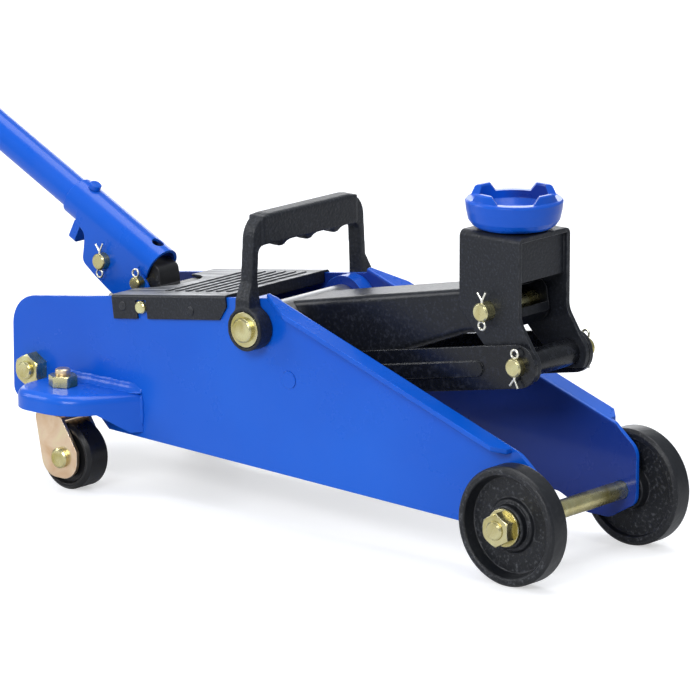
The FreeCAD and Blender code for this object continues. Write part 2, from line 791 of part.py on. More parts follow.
def link_bar(name, side):
    """A flat pressed bar with a raised rib, parallel to the arm."""
    at = ("pivot_x + link_dx", "0", "pivot_z + link_dz")
    bar = new_body("link_" + name, at, ARM_TURN, "arm_rest")
    inner = "link_inner" if side < 0 else "-(link_inner + link_wall)"
    round_end = "link_width - 0.2"
    outline = [
        ("-link_width", "-link_width", round_end),
        ("-link_width", "link_width", round_end),
        ("arm_length + link_width", "link_width", round_end),
        ("arm_length + link_width", "-link_width", round_end),
    ]
    pad_outline(bar, "side", inner, outline, "link_wall")
    rib_inner = "link_inner + link_wall - 0.2" if side < 0 else "-(link_inner + link_wall + 1.4)"
    rib = [
        ("26", "-5", "4.6"),
        ("26", "4.6", "4.6"),
        ("arm_length - 28", "4.6", "4.6"),
        ("arm_length - 28", "-5", "4.6"),
    ]
    pad(bar, polygon(new_sketch(bar, "side", rib_inner), rib), "1.6")
    for corner in rib:
        fillet(bar, corner[2], at_corner("side", corner[0], corner[1]))
    for x in ("0", "arm_length"):
        cut(bar, circle(new_sketch(bar, "side"), x, "0", "pin_radius + spin_fit"))
    return bar


def link_rear_pins():
    """The riveted studs in the side plates on which the links turn."""
    pair = []
    for side, name in ((-1, "right"), (1, "left")):
        sign = "" if side > 0 else "-"
        pair.append(turned(
            "link_rear_pin_" + name, "y",
            [
                (sign + "(link_inner - 0.8)", "0"),
                (sign + "(link_inner - 0.8)", "link_pin_radius - 0.6"),
                (sign + "(link_inner - 0.2)", "link_pin_radius"),
                (sign + "(link_inner + link_wall + move_gap + 1.4)", "link_pin_radius"),
                (sign + "(link_inner + link_wall + move_gap + 1.4)", "link_pin_radius + 3"),
                (sign + "(plate_face - plate_wall)", "link_pin_radius + 3"),
                (sign + "(plate_face - plate_wall)", "link_pin_radius - 1.5"),
                (sign + "plate_face", "link_pin_radius - 1.5"),
                (sign + "plate_face", "link_pin_radius"),
                (sign + "(plate_face + 0.5)", "link_pin_radius - 0.3"),
                (sign + "(plate_face + 0.5)", "0"),
            ],
            ("pivot_x + link_dx", "0", "pivot_z + link_dz"), node=False,
        ))
    group("link_rear_pins", pair)


# ---------------------------------------------------------------- saddle bracket

SADDLE_X = "pivot_x + arm_length * cos(arm_rest)"
SADDLE_Z = "pivot_z + arm_length * sin(arm_rest)"


def saddle_bracket():
    """A folded bracket that stays level on the arm's end and the links."""
    bracket = new_body("saddle_bracket", (SADDLE_X, "0", SADDLE_Z))
    outline = [
        ("-23", "-1", "3"),
        ("-23", "bracket_top"),
        ("24.5", "bracket_top"),
        ("24.5", "-3", "14"),
        ("40.3", "-27.5"),
        ("21.5", "-43.6"),
        ("-4", "-21"),
    ]
    pad_outline(bracket, "side", "0", outline, "2 * bracket_half", both=True)
    lug = circle(new_sketch(bracket, "side"), "link_dx", "link_dz", "lug_radius")
    pad(bracket, lug, "2 * bracket_half", both=True)
    flat = [
        ("10", "-43.4"),
        ("45", "-38.8"),
        ("45", "-60"),
        ("10", "-60"),
    ]
    cut(bracket, polygon(new_sketch(bracket, "side"), flat))
    top = number("bracket_top")
    fillet(bracket, "4.4", along("x", z=(top, top)))
    inside = [
        ("-60", "-90"),
        ("-60", "bracket_top - bracket_wall"),
        ("80", "bracket_top - bracket_wall"),
        ("80", "-90"),
    ]
    hollow = polygon(new_sketch(bracket, "side"), inside)
    cut(bracket, hollow, "2 * (bracket_half - bracket_wall)", both=True)
    for start, end, low in (("18.8", "21.8", "19.5"), ("-22", "-19", "27.5")):
        web = [
            ("%s" % start, low),
            ("%s" % start, "bracket_top - bracket_wall + 0.5"),
            ("%s" % end, "bracket_top - bracket_wall + 0.5"),
            ("%s" % end, low),
        ]
        across = polygon(new_sketch(bracket, "side"), web)
        pad(bracket, across, "2 * (bracket_half - bracket_wall + 0.5)", both=True)
    for x, z, radius in (
        ("0", "0", "pin_radius"),
        ("link_dx", "link_dz", "pin_radius"),
    ):
        cut(bracket, circle(new_sketch(bracket, "side"), x, z, radius))
    cut(bracket, circle(new_sketch(bracket, "top"), "0", "0", "stem_radius + spin_fit"))
    return bracket


def bracket_pins():
    """The two cross pins with a split pin in each end, and the tube between the cheeks."""
    pins = (
        ("upper_pin", SADDLE_X, SADDLE_Z, "upper_pin_half", "0", False),
        ("lower_pin", SADDLE_X + " + link_dx", SADDLE_Z + " + link_dz", "lower_pin_half",
         "lower_pin_shift", True),
    )
    for label, x, z, half, shift, ring_up in pins:
        rod(label, x, z, "pin_radius", half, at_y=shift)
        ends = [
            cotter(label + "_split_" + name, x, "%s %s (%s - 2.6)" % (shift, sign, half), z,
                   "pin_radius", ring_up=ring_up)
            for name, sign in (("right", "-"), ("left", "+"))
        ]
        group(label + "_cotters", ends)
    turned(
        "lower_spacer", "y",
        [
            ("-(bracket_half - bracket_wall)", "pin_radius"),
            ("-(bracket_half - bracket_wall)", "spacer_radius"),
            ("bracket_half - bracket_wall", "spacer_radius"),
            ("bracket_half - bracket_wall", "pin_radius"),
        ],
        (SADDLE_X + " + link_dx", "0", SADDLE_Z + " + link_dz"),
    )


def saddle():
    """A cast cup with four lobes that turns on a stem in the bracket's top."""
    foot = SADDLE_Z + " + bracket_top + move_gap"
    cup = new_body("saddle", (SADDLE_X, "0", foot), (0, 0, 1), "notch_turn")
    revolve(cup, "z", [
        ("-(bracket_wall + 7.5)", "0"),
        ("-(bracket_wall + 7.5)", "stem_radius - 1"),
        ("-(bracket_wall + 6.5)", "stem_radius"),
        ("-(bracket_wall + 5)", "stem_radius"),
        ("-(bracket_wall + 5)", "stem_radius - 1.6"),
        ("-(bracket_wall + 3.2)", "stem_radius - 1.6"),
        ("-(bracket_wall + 3.2)", "stem_radius"),
        ("0", "stem_radius"),
        ("0", "saddle_foot - 1.5"),
        ("1.2", "saddle_foot + 1.9"),
        ("3", "saddle_rim - 4"),
        ("6", "saddle_rim - 1.9"),
        ("12", "saddle_rim - 0.6"),
        ("saddle_height - 6.8", "saddle_rim"),
        ("saddle_height - 5.6", "saddle_rim - 0.8"),
        ("saddle_height - 5", "saddle_rim - 2"),
        ("saddle_height - 0.8", "saddle_rim - 2.6"),
        ("saddle_height", "saddle_rim - 3.4"),
        ("saddle_height", "saddle_rim - 5.6"),
        ("saddle_height - 1.2", "saddle_rim - 6.4"),
        ("14", "saddle_rim - 7"),
        ("10", "saddle_bowl + 2.5"),
        ("saddle_floor", "saddle_bowl"),
        ("saddle_floor", "0"),
    ])
    notch = [
        ("-notch_width / 2", "saddle_height - notch_drop"),
        ("notch_width / 2", "saddle_height - notch_drop"),
        ("notch_mouth / 2", "saddle_height + 1"),
        ("-notch_mouth / 2", "saddle_height + 1"),
    ]
    gap = cut(cup, polygon(new_sketch(cup, "end", "14"), notch), "30", reverse=True)
    pattern = cup.newObject("PartDesign::PolarPattern", "saddle_notches")
    pattern.Originals = [gap]
    axis = [item for item in cup.Origin.OriginFeatures if item.Role == "Z_Axis"][0]
    pattern.Axis = (axis, [""])
    pattern.Angle = 360
    pattern.Occurrences = 4
    cup.Tip = pattern
    settle(pattern)
    ring = turned(
        "saddle_ring", "z",
        [
            ("-(bracket_wall + 4.9)", "stem_radius - 1.5"),
            ("-(bracket_wall + 4.9)", "stem_radius + 2.2"),
            ("-(bracket_wall + 3.5)", "stem_radius + 2.2"),
            ("-(bracket_wall + 3.5)", "stem_radius - 1.5"),
        ],
        (SADDLE_X, "0", foot),
    )
    return cup, ring


# ---------------------------------------------------------------- hydraulic unit

def pump_block():
    """The cast body of the hydraulic unit, with the pump bore and the handle's lug."""
    block = new_body("pump_block")
    outline = [
        ("-432", "48", "6"),
        ("-432", "100", "8"),
        ("-370", "100"),
        ("-367", "116"),
        ("unit_front", "116"),
        ("unit_front", "48", "6"),
    ]
    pad_outline(block, "side", "0", outline, "2 * unit_half", both=True)
    barrel = circle(new_sketch(block, "top", "90"), "plunger_x", "0", "12.5")
    pad(block, barrel, "26")
    cross_bar = [
        ("-344", "112"),
        ("-344", "129", "2"),
        ("-313", "131", "2"),
        ("-313", "119.5", "2"),
        ("-334.5", "118.3"),
        ("-335", "117.6"),
        ("-335", "112"),
    ]
    bar_half = "plate_face - plate_wall - 0.1"
    pad_outline(block, "side", "0", cross_bar, "2 * (%s)" % bar_half, both=True)
    lug = [
        ("-367.8", "112"),
        ("-367.8", "138", "7"),
        ("-354", "145.5", "8"),
        ("-343.5", "141", "5"),
        ("-339", "112"),
    ]
    pad_outline(block, "side", "0", lug, "19.4", both=True)
    rear_lug = circle(new_sketch(block, "side"), "rear_bolt_x", "rear_bolt_z", "13")
    pad(block, rear_lug, "2 * (%s)" % bar_half, both=True)
    for side in ("-15.4", "15.4"):
        hook_lug = new_sketch(block, "top", "48")
        corners = [
            ("unit_front - 1", side + " - 2"),
            ("unit_front + 9", side + " - 2"),
            ("unit_front + 9", side + " + 2"),
            ("unit_front - 1", side + " + 2"),
        ]
        pad(block, polygon(hook_lug, corners), "10")
    cuts = (
        ("side", "pump_x", "pump_z", "pump_pin_radius + spin_fit"),
        ("side", "rear_bolt_x", "rear_bolt_z", "axle_radius + spin_fit"),
        ("side", "unit_front + 5", "53", "1.4"),
    )
    for view, x, z, radius in cuts:
        cut(block, circle(new_sketch(block, view), x, z, radius))
    well = circle(new_sketch(block, "top", "150"), "plunger_x", "0", "plunger_radius + spin_fit")
    cut(block, well, "92")
    for side in (-1, 1):
        sign = "" if side > 0 else "-"
        offset = "-(%s)" % bar_half if side > 0 else "%s - 15" % bar_half
        tapped = circle(new_sketch(block, "side", offset), "unit_bolt_x", "unit_bolt_z", "3")
        cut(block, tapped, "15", reverse=True)
    seat = circle(new_sketch(block, "end", "-432"), "0", "valve_z", "6 + spin_fit")
    cut(block, seat, "14", reverse=True)
    return block


def cylinder_parts():
    """Reservoir shell, pressure cylinder, gland ring and filler plug in front of the block."""
    at = ("0", "0", "unit_z")
    turned(
        "reservoir_tube", "x",
        [
            ("unit_front", "reservoir_radius - 2.5"),
            ("unit_front", "reservoir_radius"),
            ("reservoir_front - 3", "reservoir_radius"),
            ("reservoir_front", "reservoir_radius - 3"),
            ("reservoir_front", "cylinder_radius"),
            ("reservoir_front - 4", "cylinder_radius"),
            ("reservoir_front - 4", "reservoir_radius - 3.4"),
            ("reservoir_front - 5", "reservoir_radius - 2.5"),
        ],
        at,
    )
    turned(
        "pressure_cylinder", "x",
        [
            ("unit_front", "bore_radius"),
            ("unit_front", "cylinder_radius"),
            ("gland_back", "cylinder_radius"),
            ("gland_back", "bore_radius"),
        ],
        at,
    )
    turned(
        "gland_ring", "x",
        [
            ("gland_back", "ram_radius + spin_fit"),
            ("gland_back", "cylinder_radius + 1.5"),
            ("gland_front - 1.5", "cylinder_radius + 1.5"),
            ("gland_front", "cylinder_radius"),
            ("gland_front", "ram_radius + spin_fit"),
        ],
        at,
    )
    turned(
        "filler_plug", "z",
        [
            ("-1.2", "0"),
            ("-1.2", "4"),
            ("0.1", "4"),
            ("0.1", "6"),
            ("1.6", "6"),
            ("2.4", "4.6"),
            ("2.4", "0"),
        ],
        ("-302", "0", "unit_z + reservoir_radius"),
    )


def ram_parts():
    """The ram with its piston, and the thrust head that meets the arm's roller."""
    at = ("0", "0", "unit_z")
    turned(
        "ram_rod", "x",
        [
            ("-312", "0"),
            ("-312", "bore_radius - spin_fit"),
            ("-300", "bore_radius - spin_fit"),
            ("-300", "ram_radius"),
            ("ram_face - 7", "ram_radius"),
            ("ram_face - 7", "0"),
        ],
        at,
    )
    turned(
        "ram_head", "x",
        [
            ("ram_face - 7", "0"),
            ("ram_face - 7", "14"),
            ("ram_face - 6", "15"),
            ("ram_face - 1", "15"),
            ("ram_face", "14"),
            ("ram_face", "0"),
        ],
        at,
    )


def release_valve():
    """The screw at the back of the unit that lets the oil return."""
    valve = turned(
        "release_valve", "x",
        [
            ("-447", "0"),
            ("-447", "5"),
            ("-446", "6"),
            ("-420", "6"),
            ("-419", "5"),
            ("-419", "0"),
        ],
        ("0", "0", "valve_z"),
    )
    bar = circle(new_sketch(valve, "side"), "-441", "0", "1.8")
    pad(valve, bar, "22", both=True)
    return valve


def return_springs():
    """The two springs that draw the arm down, as closed coils with plain ends."""
    rear = FreeCAD.Vector(number("axle_x + unit_front + 5"), 0, 53)
    reach = "axle_x + pivot_x + spring_lever * cos(lever_angle + arm_rest)"
    height = "pivot_z + spring_lever * sin(lever_angle + arm_rest)"
    front = FreeCAD.Vector(number(reach), 0, number(height))
    for name, y in (("right", -15.4), ("left", 15.4)):
        start = rear + FreeCAD.Vector(0, y, 0)
        run = (front - rear)
        direction = FreeCAD.Vector(run).normalize()
        first = start + direction * 6
        coil = Part.makeCylinder(3.6, run.Length - 12, first, direction)
        coil = coil.cut(Part.makeCylinder(2.4, run.Length - 12, first, direction))
        spring = doc.addObject("Part::Feature", "return_spring_" + name)
        spring.Shape = coil
        nodes.append(spring)


# ---------------------------------------------------------------- pump and handle

PUMP_AT = ("pump_x", "0", "pump_z")
HANDLE_TURN = (0, 1, 0)


def handle_socket():
    """A folded socket: a round mouth for the handle above two cheeks for the pump pins."""
    socket = new_body("handle_socket", PUMP_AT, HANDLE_TURN, "handle_rise")
    cheeks = [
        ("-70", "tube_axis"),
        ("-67", "4"),
        ("-56.5", "1", "6"),
        ("-53", "-8"),
        ("-50", "-17", "6"),
        ("-36", "-19.5"),
        ("-17", "-21.5", "12"),
        ("6", "-12", "8"),
        ("11.5", "0", "7"),
        ("-5.5", "8"),
        ("-5.5", "tube_axis"),
    ]
    pad_outline(socket, "side", "0", cheeks, "2 * socket_radius", both=True)
    barrel = circle(new_sketch(socket, "end", "mouth"), "0", "tube_axis", "socket_radius")
    pad(socket, barrel, "2.5 - mouth")
    bore = circle(new_sketch(socket, "end"), "0", "tube_axis", "socket_bore")
    cut(socket, bore)
    channel = [
        ("-socket_bore", "-40"),
        ("-socket_bore", "tube_axis"),
        ("socket_bore", "tube_axis"),
        ("socket_bore", "-40"),
    ]
    cut(socket, polygon(new_sketch(socket, "end", "-64"), channel), "90", reverse=True)
    tab = [
        ("-72", "-14"),
        ("-72", "0.5"),
        ("-66", "0.5"),
        ("-66", "-14"),
    ]
    pad_outline(socket, "side", "0", tab, "16", both=True)
    fillet(socket, "3", along("x", z=(-14, -14)))
    for x, z, radius in (
        ("0", "0", "pump_pin_radius"),
        ("drive_x", "drive_z", "drive_radius"),
    ):
        cut(socket, circle(new_sketch(socket, "side"), x, z, radius))
    for x, radius in (("-72", "3"), ("-7.5", "4.2")):
        above = new_sketch(socket, "top", "tube_axis + 30")
        cut(socket, circle(above, x, "0", radius), "30")
    return socket


def handle_parts():
    """The handle tube, its rubber grip and the screw that locks it in the socket."""
    tube = turned(
        "handle_tube", "x",
        [
            ("handle_end + 4", "tube_radius - 1.8"),
            ("handle_end + 4", "tube_radius"),
            ("-46", "tube_radius"),
            ("-46", "tube_radius - 1.8"),
        ],
        (
            "pump_x + tube_axis * sin(handle_rise)", "0",
            "pump_z + tube_axis * cos(handle_rise)",
        ),
        turn=HANDLE_TURN, angle="handle_rise",
    )
    grip = turned(
        "handle_grip", "x",
        [
            ("handle_end", "0"),
            ("handle_end", "grip_radius - 3"),
            ("handle_end + 3", "grip_radius"),
            ("handle_end + grip_length - 6", "grip_radius"),
            ("handle_end + grip_length", "tube_radius + 1"),
            ("handle_end + grip_length", "tube_radius"),
            ("handle_end + 4", "tube_radius"),
            ("handle_end + 4", "0"),
        ],
        (
            "pump_x + tube_axis * sin(handle_rise)", "0",
            "pump_z + tube_axis * cos(handle_rise)",
        ),
        turn=HANDLE_TURN, angle="handle_rise",
    )
    screw = turned(
        "handle_screw", "z",
        [
            ("tube_radius", "0"),
            ("tube_radius", "2.9"),
            ("socket_radius", "2.9"),
            ("socket_radius - 0.2", "4.2"),
            ("socket_radius + 3", "4.2"),
            ("socket_radius + 3.6", "3.4"),
            ("socket_radius + 3.6", "0"),
        ],
        (
            "pump_x + tube_axis * sin(handle_rise) - 72 * cos(handle_rise)", "0",
            "pump_z + tube_axis * cos(handle_rise) + 72 * sin(handle_rise)",
        ),
        turn=HANDLE_TURN, angle="handle_rise",
    )
    return tube, grip, screw


def socket_pins():
    """The pivot pin in the pump's lug and the pin that drives the plunger."""
    drive_x = "pump_x + drive_x * cos(handle_rise) + drive_z * sin(handle_rise)"
    drive_z = "pump_z - drive_x * sin(handle_rise) + drive_z * cos(handle_rise)"
    ends = []
    for label, x, z, radius, ring_up in (
        ("pump_pivot_pin", "pump_x", "pump_z", "pump_pin_radius", True),
        ("plunger_pin", drive_x, drive_z, "drive_radius", False),
    ):
        rod(label, x, z, radius, "19.5", "0.8")
        for name, sign in (("right", "-"), ("left", "")):
            split = label + "_split_" + name
            ends.append(cotter(split, x, sign + "17.4", z, radius, 0.9, ring_up))
    group("socket_pin_cotters", ends)


def pump_plunger():
    """The pump plunger with the wide head that the drive pin bears on."""
    turned(
        "pump_plunger", "z",
        [
            ("75", "0"),
            ("75", "plunger_radius - 1"),
            ("76", "plunger_radius"),
            ("plunger_top - 5", "plunger_radius"),
            ("plunger_top - 5", "plunger_head"),
            ("plunger_top - 1", "plunger_head"),
            ("plunger_top", "plunger_head - 1"),
            ("plunger_top", "0"),
        ],
        ("plunger_x", "0", "0"),
    )


# ---------------------------------------------------------------- carrying handle

def carry_handle():
    """A moulded bail with a finger grip, turning on the ends of the lift shaft."""
    bail = new_body("carry_handle", ARM_AT)
    outline = [
        ("-leg_foot", "0"),
        ("-leg_outer", "grip_top", "16"),
        ("leg_outer", "grip_top", "16"),
        ("leg_foot", "0"),
        ("leg_inner", "0"),
        ("leg_inner", "24"),
        ("leg_inner - 1.6", "grip_under", "6"),
        ("-leg_inner + 1.6", "grip_under", "6"),
        ("-leg_inner", "24"),
        ("-leg_inner", "0"),
    ]
    frame_start = "leg_back - leg_half"
    pad_outline(bail, "end", frame_start, outline, "2 * leg_half")
    thick_grip = [
        ("-leg_inner + 4", "grip_under"),
        ("-leg_inner + 4", "grip_top - 1"),
        ("leg_inner - 4", "grip_top - 1"),
        ("leg_inner - 4", "grip_under"),
    ]
    sketch = polygon(new_sketch(bail, "end", "leg_back - leg_half - 1.5"), thick_grip)
    pad(bail, sketch, "2 * leg_half + 3")
    for place_along in ("-cusp_pitch", "0", "cusp_pitch"):
        cusp = [
            ("%s - 7" % place_along, "grip_under + 0.2"),
            ("%s + 7" % place_along, "grip_under + 0.2"),
            ("%s + 2" % place_along, "grip_under - cusp_drop"),
            ("%s - 2" % place_along, "grip_under - cusp_drop"),
        ]
        pad(bail, polygon(new_sketch(bail, "end", frame_start), cusp), "2 * leg_half")
    for side in (-1, 1):
        sign = "" if side > 0 else "-"
        offset = "-eye_face" if side > 0 else "eye_inner"
        eye = circle(new_sketch(bail, "side", offset), "0", "0", "eye_radius")
        pad(bail, eye, "eye_face - eye_inner")
        shoulder = [
            ("leg_back - leg_half", "6"),
            ("leg_back - leg_half", "30"),
            ("leg_back + leg_half", "30"),
            ("leg_back + leg_half + 4", "6"),
        ]
        shoulder_offset = "-(eye_face - 1)" if side > 0 else "eye_inner"
        pad(bail, polygon(new_sketch(bail, "side", shoulder_offset), shoulder),
            "eye_face - 1 - eye_inner")
        slope = [
            (sign + "(eye_face + 1)", "14"),
            (sign + "(leg_foot - 2)", "30"),
            (sign + "(leg_foot - 1.9)", "34"),
            (sign + "(eye_face + 1)", "34"),
        ]
        cut(bail, polygon(new_sketch(bail, "end", "leg_back - leg_half - 1"), slope),
            "2 * leg_half + 8", reverse=True)
        recess_offset = "-(eye_face + 1)" if side > 0 else "eye_face - 3"
        recess = circle(new_sketch(bail, "side", recess_offset), "0", "0", "eye_recess")
        cut(bail, recess, "4", reverse=True)
    cut(bail, circle(new_sketch(bail, "side"), "0", "0", "shaft_radius + spin_fit"))
    return bail


# ---------------------------------------------------------------- assembly

for label_end, hand in (("right", -1), ("left", 1)):
    side_plate(label_end, hand)
    pivot_boss(label_end, hand)
    caster_ear(label_end, hand)
    front_wheel(label_end, hand)
    caster(label_end, hand)
    link_bar(label_end, hand)

top_cover()
unit_bolts()
rod("rear_cross_bolt", "rear_bolt_x", "rear_bolt_z", "axle_radius", "plate_face + 12.5")
pair_of_nuts("rear_cross_nuts", "nut_flats", "10", "axle_radius", "rear_bolt_x", "plate_face",
             "rear_bolt_z")
rod("front_axle", "0", "wheel_radius", "axle_radius", "axle_half")
washers("front_axle_washers", "0", "wheel_radius", "axle_radius", "washer_radius",
        "hub_face + move_gap", "hub_face + move_gap + washer_depth")
pair_of_nuts("front_axle_nuts", "nut_flats", "nut_height", "axle_radius", "0",
             "hub_face + move_gap + washer_depth", "wheel_radius")
rod("lift_shaft", "pivot_x", "pivot_z", "shaft_radius", "shaft_half")
washers("lift_shaft_rings", "pivot_x", "pivot_z", "shaft_radius", "eye_recess - 0.4",
        "eye_face - 2.7", "eye_face - 0.6")
link_rear_pins()
lift_arm()
arm_sleeve()
thrust_parts()
saddle_bracket()
bracket_pins()
saddle()
pump_block()
cylinder_parts()
ram_parts()
release_valve()
return_springs()
handle_socket()
handle_parts()
socket_pins()
pump_plunger()
carry_handle()

doc.recompute()


# ---------------------------------------------------------------- checks and export

for item in doc.Objects:
    bad = [state for state in item.State if state in ("Invalid", "Error")]
    if bad:
        raise RuntimeError("%s failed: %s" % (item.Label, bad))

os.makedirs("parts", exist_ok=True)
for node in nodes:
    shape = node.Shape
    if shape.isNull() or not shape.isValid():
        raise RuntimeError("%s has no valid shape" % node.Label)
    shape.exportStep(os.path.join("parts", node.Label + ".step"))
    print("%-24s %2d solid(s) %10.1f mm3" % (node.Label, len(shape.Solids), shape.Volume))
print("nodes:", len(nodes))
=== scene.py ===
import bpy
import bmesh
import math
from mathutils import Matrix, Vector


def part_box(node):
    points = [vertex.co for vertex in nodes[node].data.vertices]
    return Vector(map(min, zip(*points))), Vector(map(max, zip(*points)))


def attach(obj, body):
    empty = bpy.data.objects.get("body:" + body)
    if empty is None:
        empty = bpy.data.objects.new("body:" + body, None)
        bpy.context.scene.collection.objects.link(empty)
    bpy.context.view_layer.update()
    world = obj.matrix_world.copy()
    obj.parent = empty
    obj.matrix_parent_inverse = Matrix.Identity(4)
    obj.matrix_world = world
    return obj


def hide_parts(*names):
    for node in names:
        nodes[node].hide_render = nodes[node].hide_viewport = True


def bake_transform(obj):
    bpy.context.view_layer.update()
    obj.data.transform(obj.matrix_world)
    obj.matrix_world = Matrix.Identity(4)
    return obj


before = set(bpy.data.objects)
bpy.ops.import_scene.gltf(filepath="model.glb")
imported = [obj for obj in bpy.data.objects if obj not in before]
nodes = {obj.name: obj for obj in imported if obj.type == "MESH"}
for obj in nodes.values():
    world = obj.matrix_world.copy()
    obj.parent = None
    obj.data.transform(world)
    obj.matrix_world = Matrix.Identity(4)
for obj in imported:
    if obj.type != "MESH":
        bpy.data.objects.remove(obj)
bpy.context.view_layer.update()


# ---- Pressed side plates, caster ears, handle socket and tube, cast saddle: blue enamel ----
# Folded from 3 mm steel sheet, welded at the ears and sprayed with a gloss enamel that pools
# thicker in the flats, keeps a faint orange peel and is painted lighter at the edges (thinner paint there
# plus a painted edge highlight).

def new_tree(name, inputs, outputs):
    """An empty shader group with named sockets, each given as (name, type, value)."""
    tree = bpy.data.node_groups.new(name, "ShaderNodeTree")
    for socket_name, kind, value in inputs:
        socket = tree.interface.new_socket(socket_name, in_out="INPUT", socket_type=kind)
        socket.default_value = value
    for socket_name, kind in outputs:
        tree.interface.new_socket(socket_name, in_out="OUTPUT", socket_type=kind)
    tree.nodes.new("NodeGroupInput")
    tree.nodes.new("NodeGroupOutput")
    return tree


def add(tree, kind, links=(), **settings):
    """A node with its settings, and its inputs joined or given a value."""
    node = tree.nodes.new(kind)
    for key, value in settings.items():
        setattr(node, key, value)
    for socket, source in links:
        if isinstance(source, bpy.types.NodeSocket):
            tree.links.new(source, node.inputs[socket])
        else:
            node.inputs[socket].default_value = source
    return node


def edge_mask_group():
    """A mask that is 1 on outside edges, broken up by noise, and a slightly rounded normal."""
    tree = new_tree(
        "edge_mask",
        [("Radius", "NodeSocketFloat", 0.0006), ("Break Up", "NodeSocketFloat", 90.0)],
        [("Mask", "NodeSocketFloat"), ("Normal", "NodeSocketVector")],
    )
    given = tree.nodes["Group Input"].outputs
    out = tree.nodes["Group Output"].inputs
    rounded = add(tree, "ShaderNodeBevel", [("Radius", given["Radius"])], samples=6)
    flat = add(tree, "ShaderNodeNewGeometry")
    turn = add(tree, "ShaderNodeVectorMath",
               [(0, rounded.outputs["Normal"]), (1, flat.outputs["Normal"])], operation="DOT_PRODUCT")
    edge = add(tree, "ShaderNodeMapRange",
               [("Value", turn.outputs["Value"]), ("From Min", 0.995), ("From Max", 0.82)])
    place = add(tree, "ShaderNodeTexCoord")
    noise = add(tree, "ShaderNodeTexNoise",
                [("Vector", place.outputs["Object"]), ("Scale", given["Break Up"]), ("Detail", 5.0)])
    patches = add(tree, "ShaderNodeMapRange",
                  [("Value", noise.outputs["Fac"]), ("From Min", 0.42), ("From Max", 0.62)])
    worn = add(tree, "ShaderNodeMath", [(0, edge.outputs["Result"]), (1, patches.outputs["Result"])],
               operation="MULTIPLY")
    tree.links.new(worn.outputs["Value"], out["Mask"])
    tree.links.new(rounded.outputs["Normal"], out["Normal"])
    return tree


def dust_group():
    """A thin uneven film of dust and handling marks, stronger on faces that look up."""
    tree = new_tree(
        "dust_film",
        [("Scale", "NodeSocketFloat", 14.0), ("Amount", "NodeSocketFloat", 0.3)],
        [("Mask", "NodeSocketFloat"), ("Smudge", "NodeSocketFloat")],
    )
    given = tree.nodes["Group Input"].outputs
    out = tree.nodes["Group Output"].inputs
    place = add(tree, "ShaderNodeTexCoord")
    cloud = add(tree, "ShaderNodeTexNoise",
                [("Vector", place.outputs["Object"]), ("Scale", given["Scale"]), ("Detail", 6.0),
                 ("Roughness", 0.62)])
    soft = add(tree, "ShaderNodeMapRange",
               [("Value", cloud.outputs["Fac"]), ("From Min", 0.38), ("From Max", 0.72)])
    face = add(tree, "ShaderNodeSeparateXYZ", [("Vector", place.outputs["Normal"])])
    upward = add(tree, "ShaderNodeMapRange",
                 [("Value", face.outputs["Z"]), ("From Min", -0.2), ("From Max", 1.0), ("To Min", 0.25)])
    film = add(tree, "ShaderNodeMath", [(0, soft.outputs["Result"]), (1, upward.outputs["Result"])],
               operation="MULTIPLY")
    scaled = add(tree, "ShaderNodeMath", [(0, film.outputs["Value"]), (1, given["Amount"])],
                 operation="MULTIPLY")
    tree.links.new(scaled.outputs["Value"], out["Mask"])
    tree.links.new(soft.outputs["Result"], out["Smudge"])
    return tree


edge_mask = edge_mask_group()
dust_film = dust_group()


def finish_material(name, **settings):
    """A material with an empty Principled shader that has the given socket values."""
    material = bpy.data.materials.new(name)
    material.use_nodes = True
    shader = material.node_tree.nodes["Principled BSDF"]
    for socket, value in settings.items():
        shader.inputs[socket.replace("_", " ")].default_value = value
    return material, material.node_tree, shader


def group_node(tree, group, **values):
    """One use of a shared effect with its own values."""
    node = tree.nodes.new("ShaderNodeGroup")
    node.node_tree = group
    for socket, value in values.items():
        node.inputs[socket.replace("_", " ")].default_value = value
    return node


def mix(tree, factor, first, second):
    """A colour mix of two colours or sockets."""
    node = tree.nodes.new("ShaderNodeMix")
    node.data_type = "RGBA"
    for socket, source in ((node.inputs[0], factor), (node.inputs[6], first), (node.inputs[7], second)):
        if isinstance(source, bpy.types.NodeSocket):
            tree.links.new(source, socket)
        else:
            socket.default_value = source
    return node.outputs[2]


def wear_material(material, *names):
    """Give a finish to CAD nodes, in every slot they have."""
    for name in names:
        mesh = nodes[name].data
        mesh.materials.clear()
        mesh.materials.append(material)


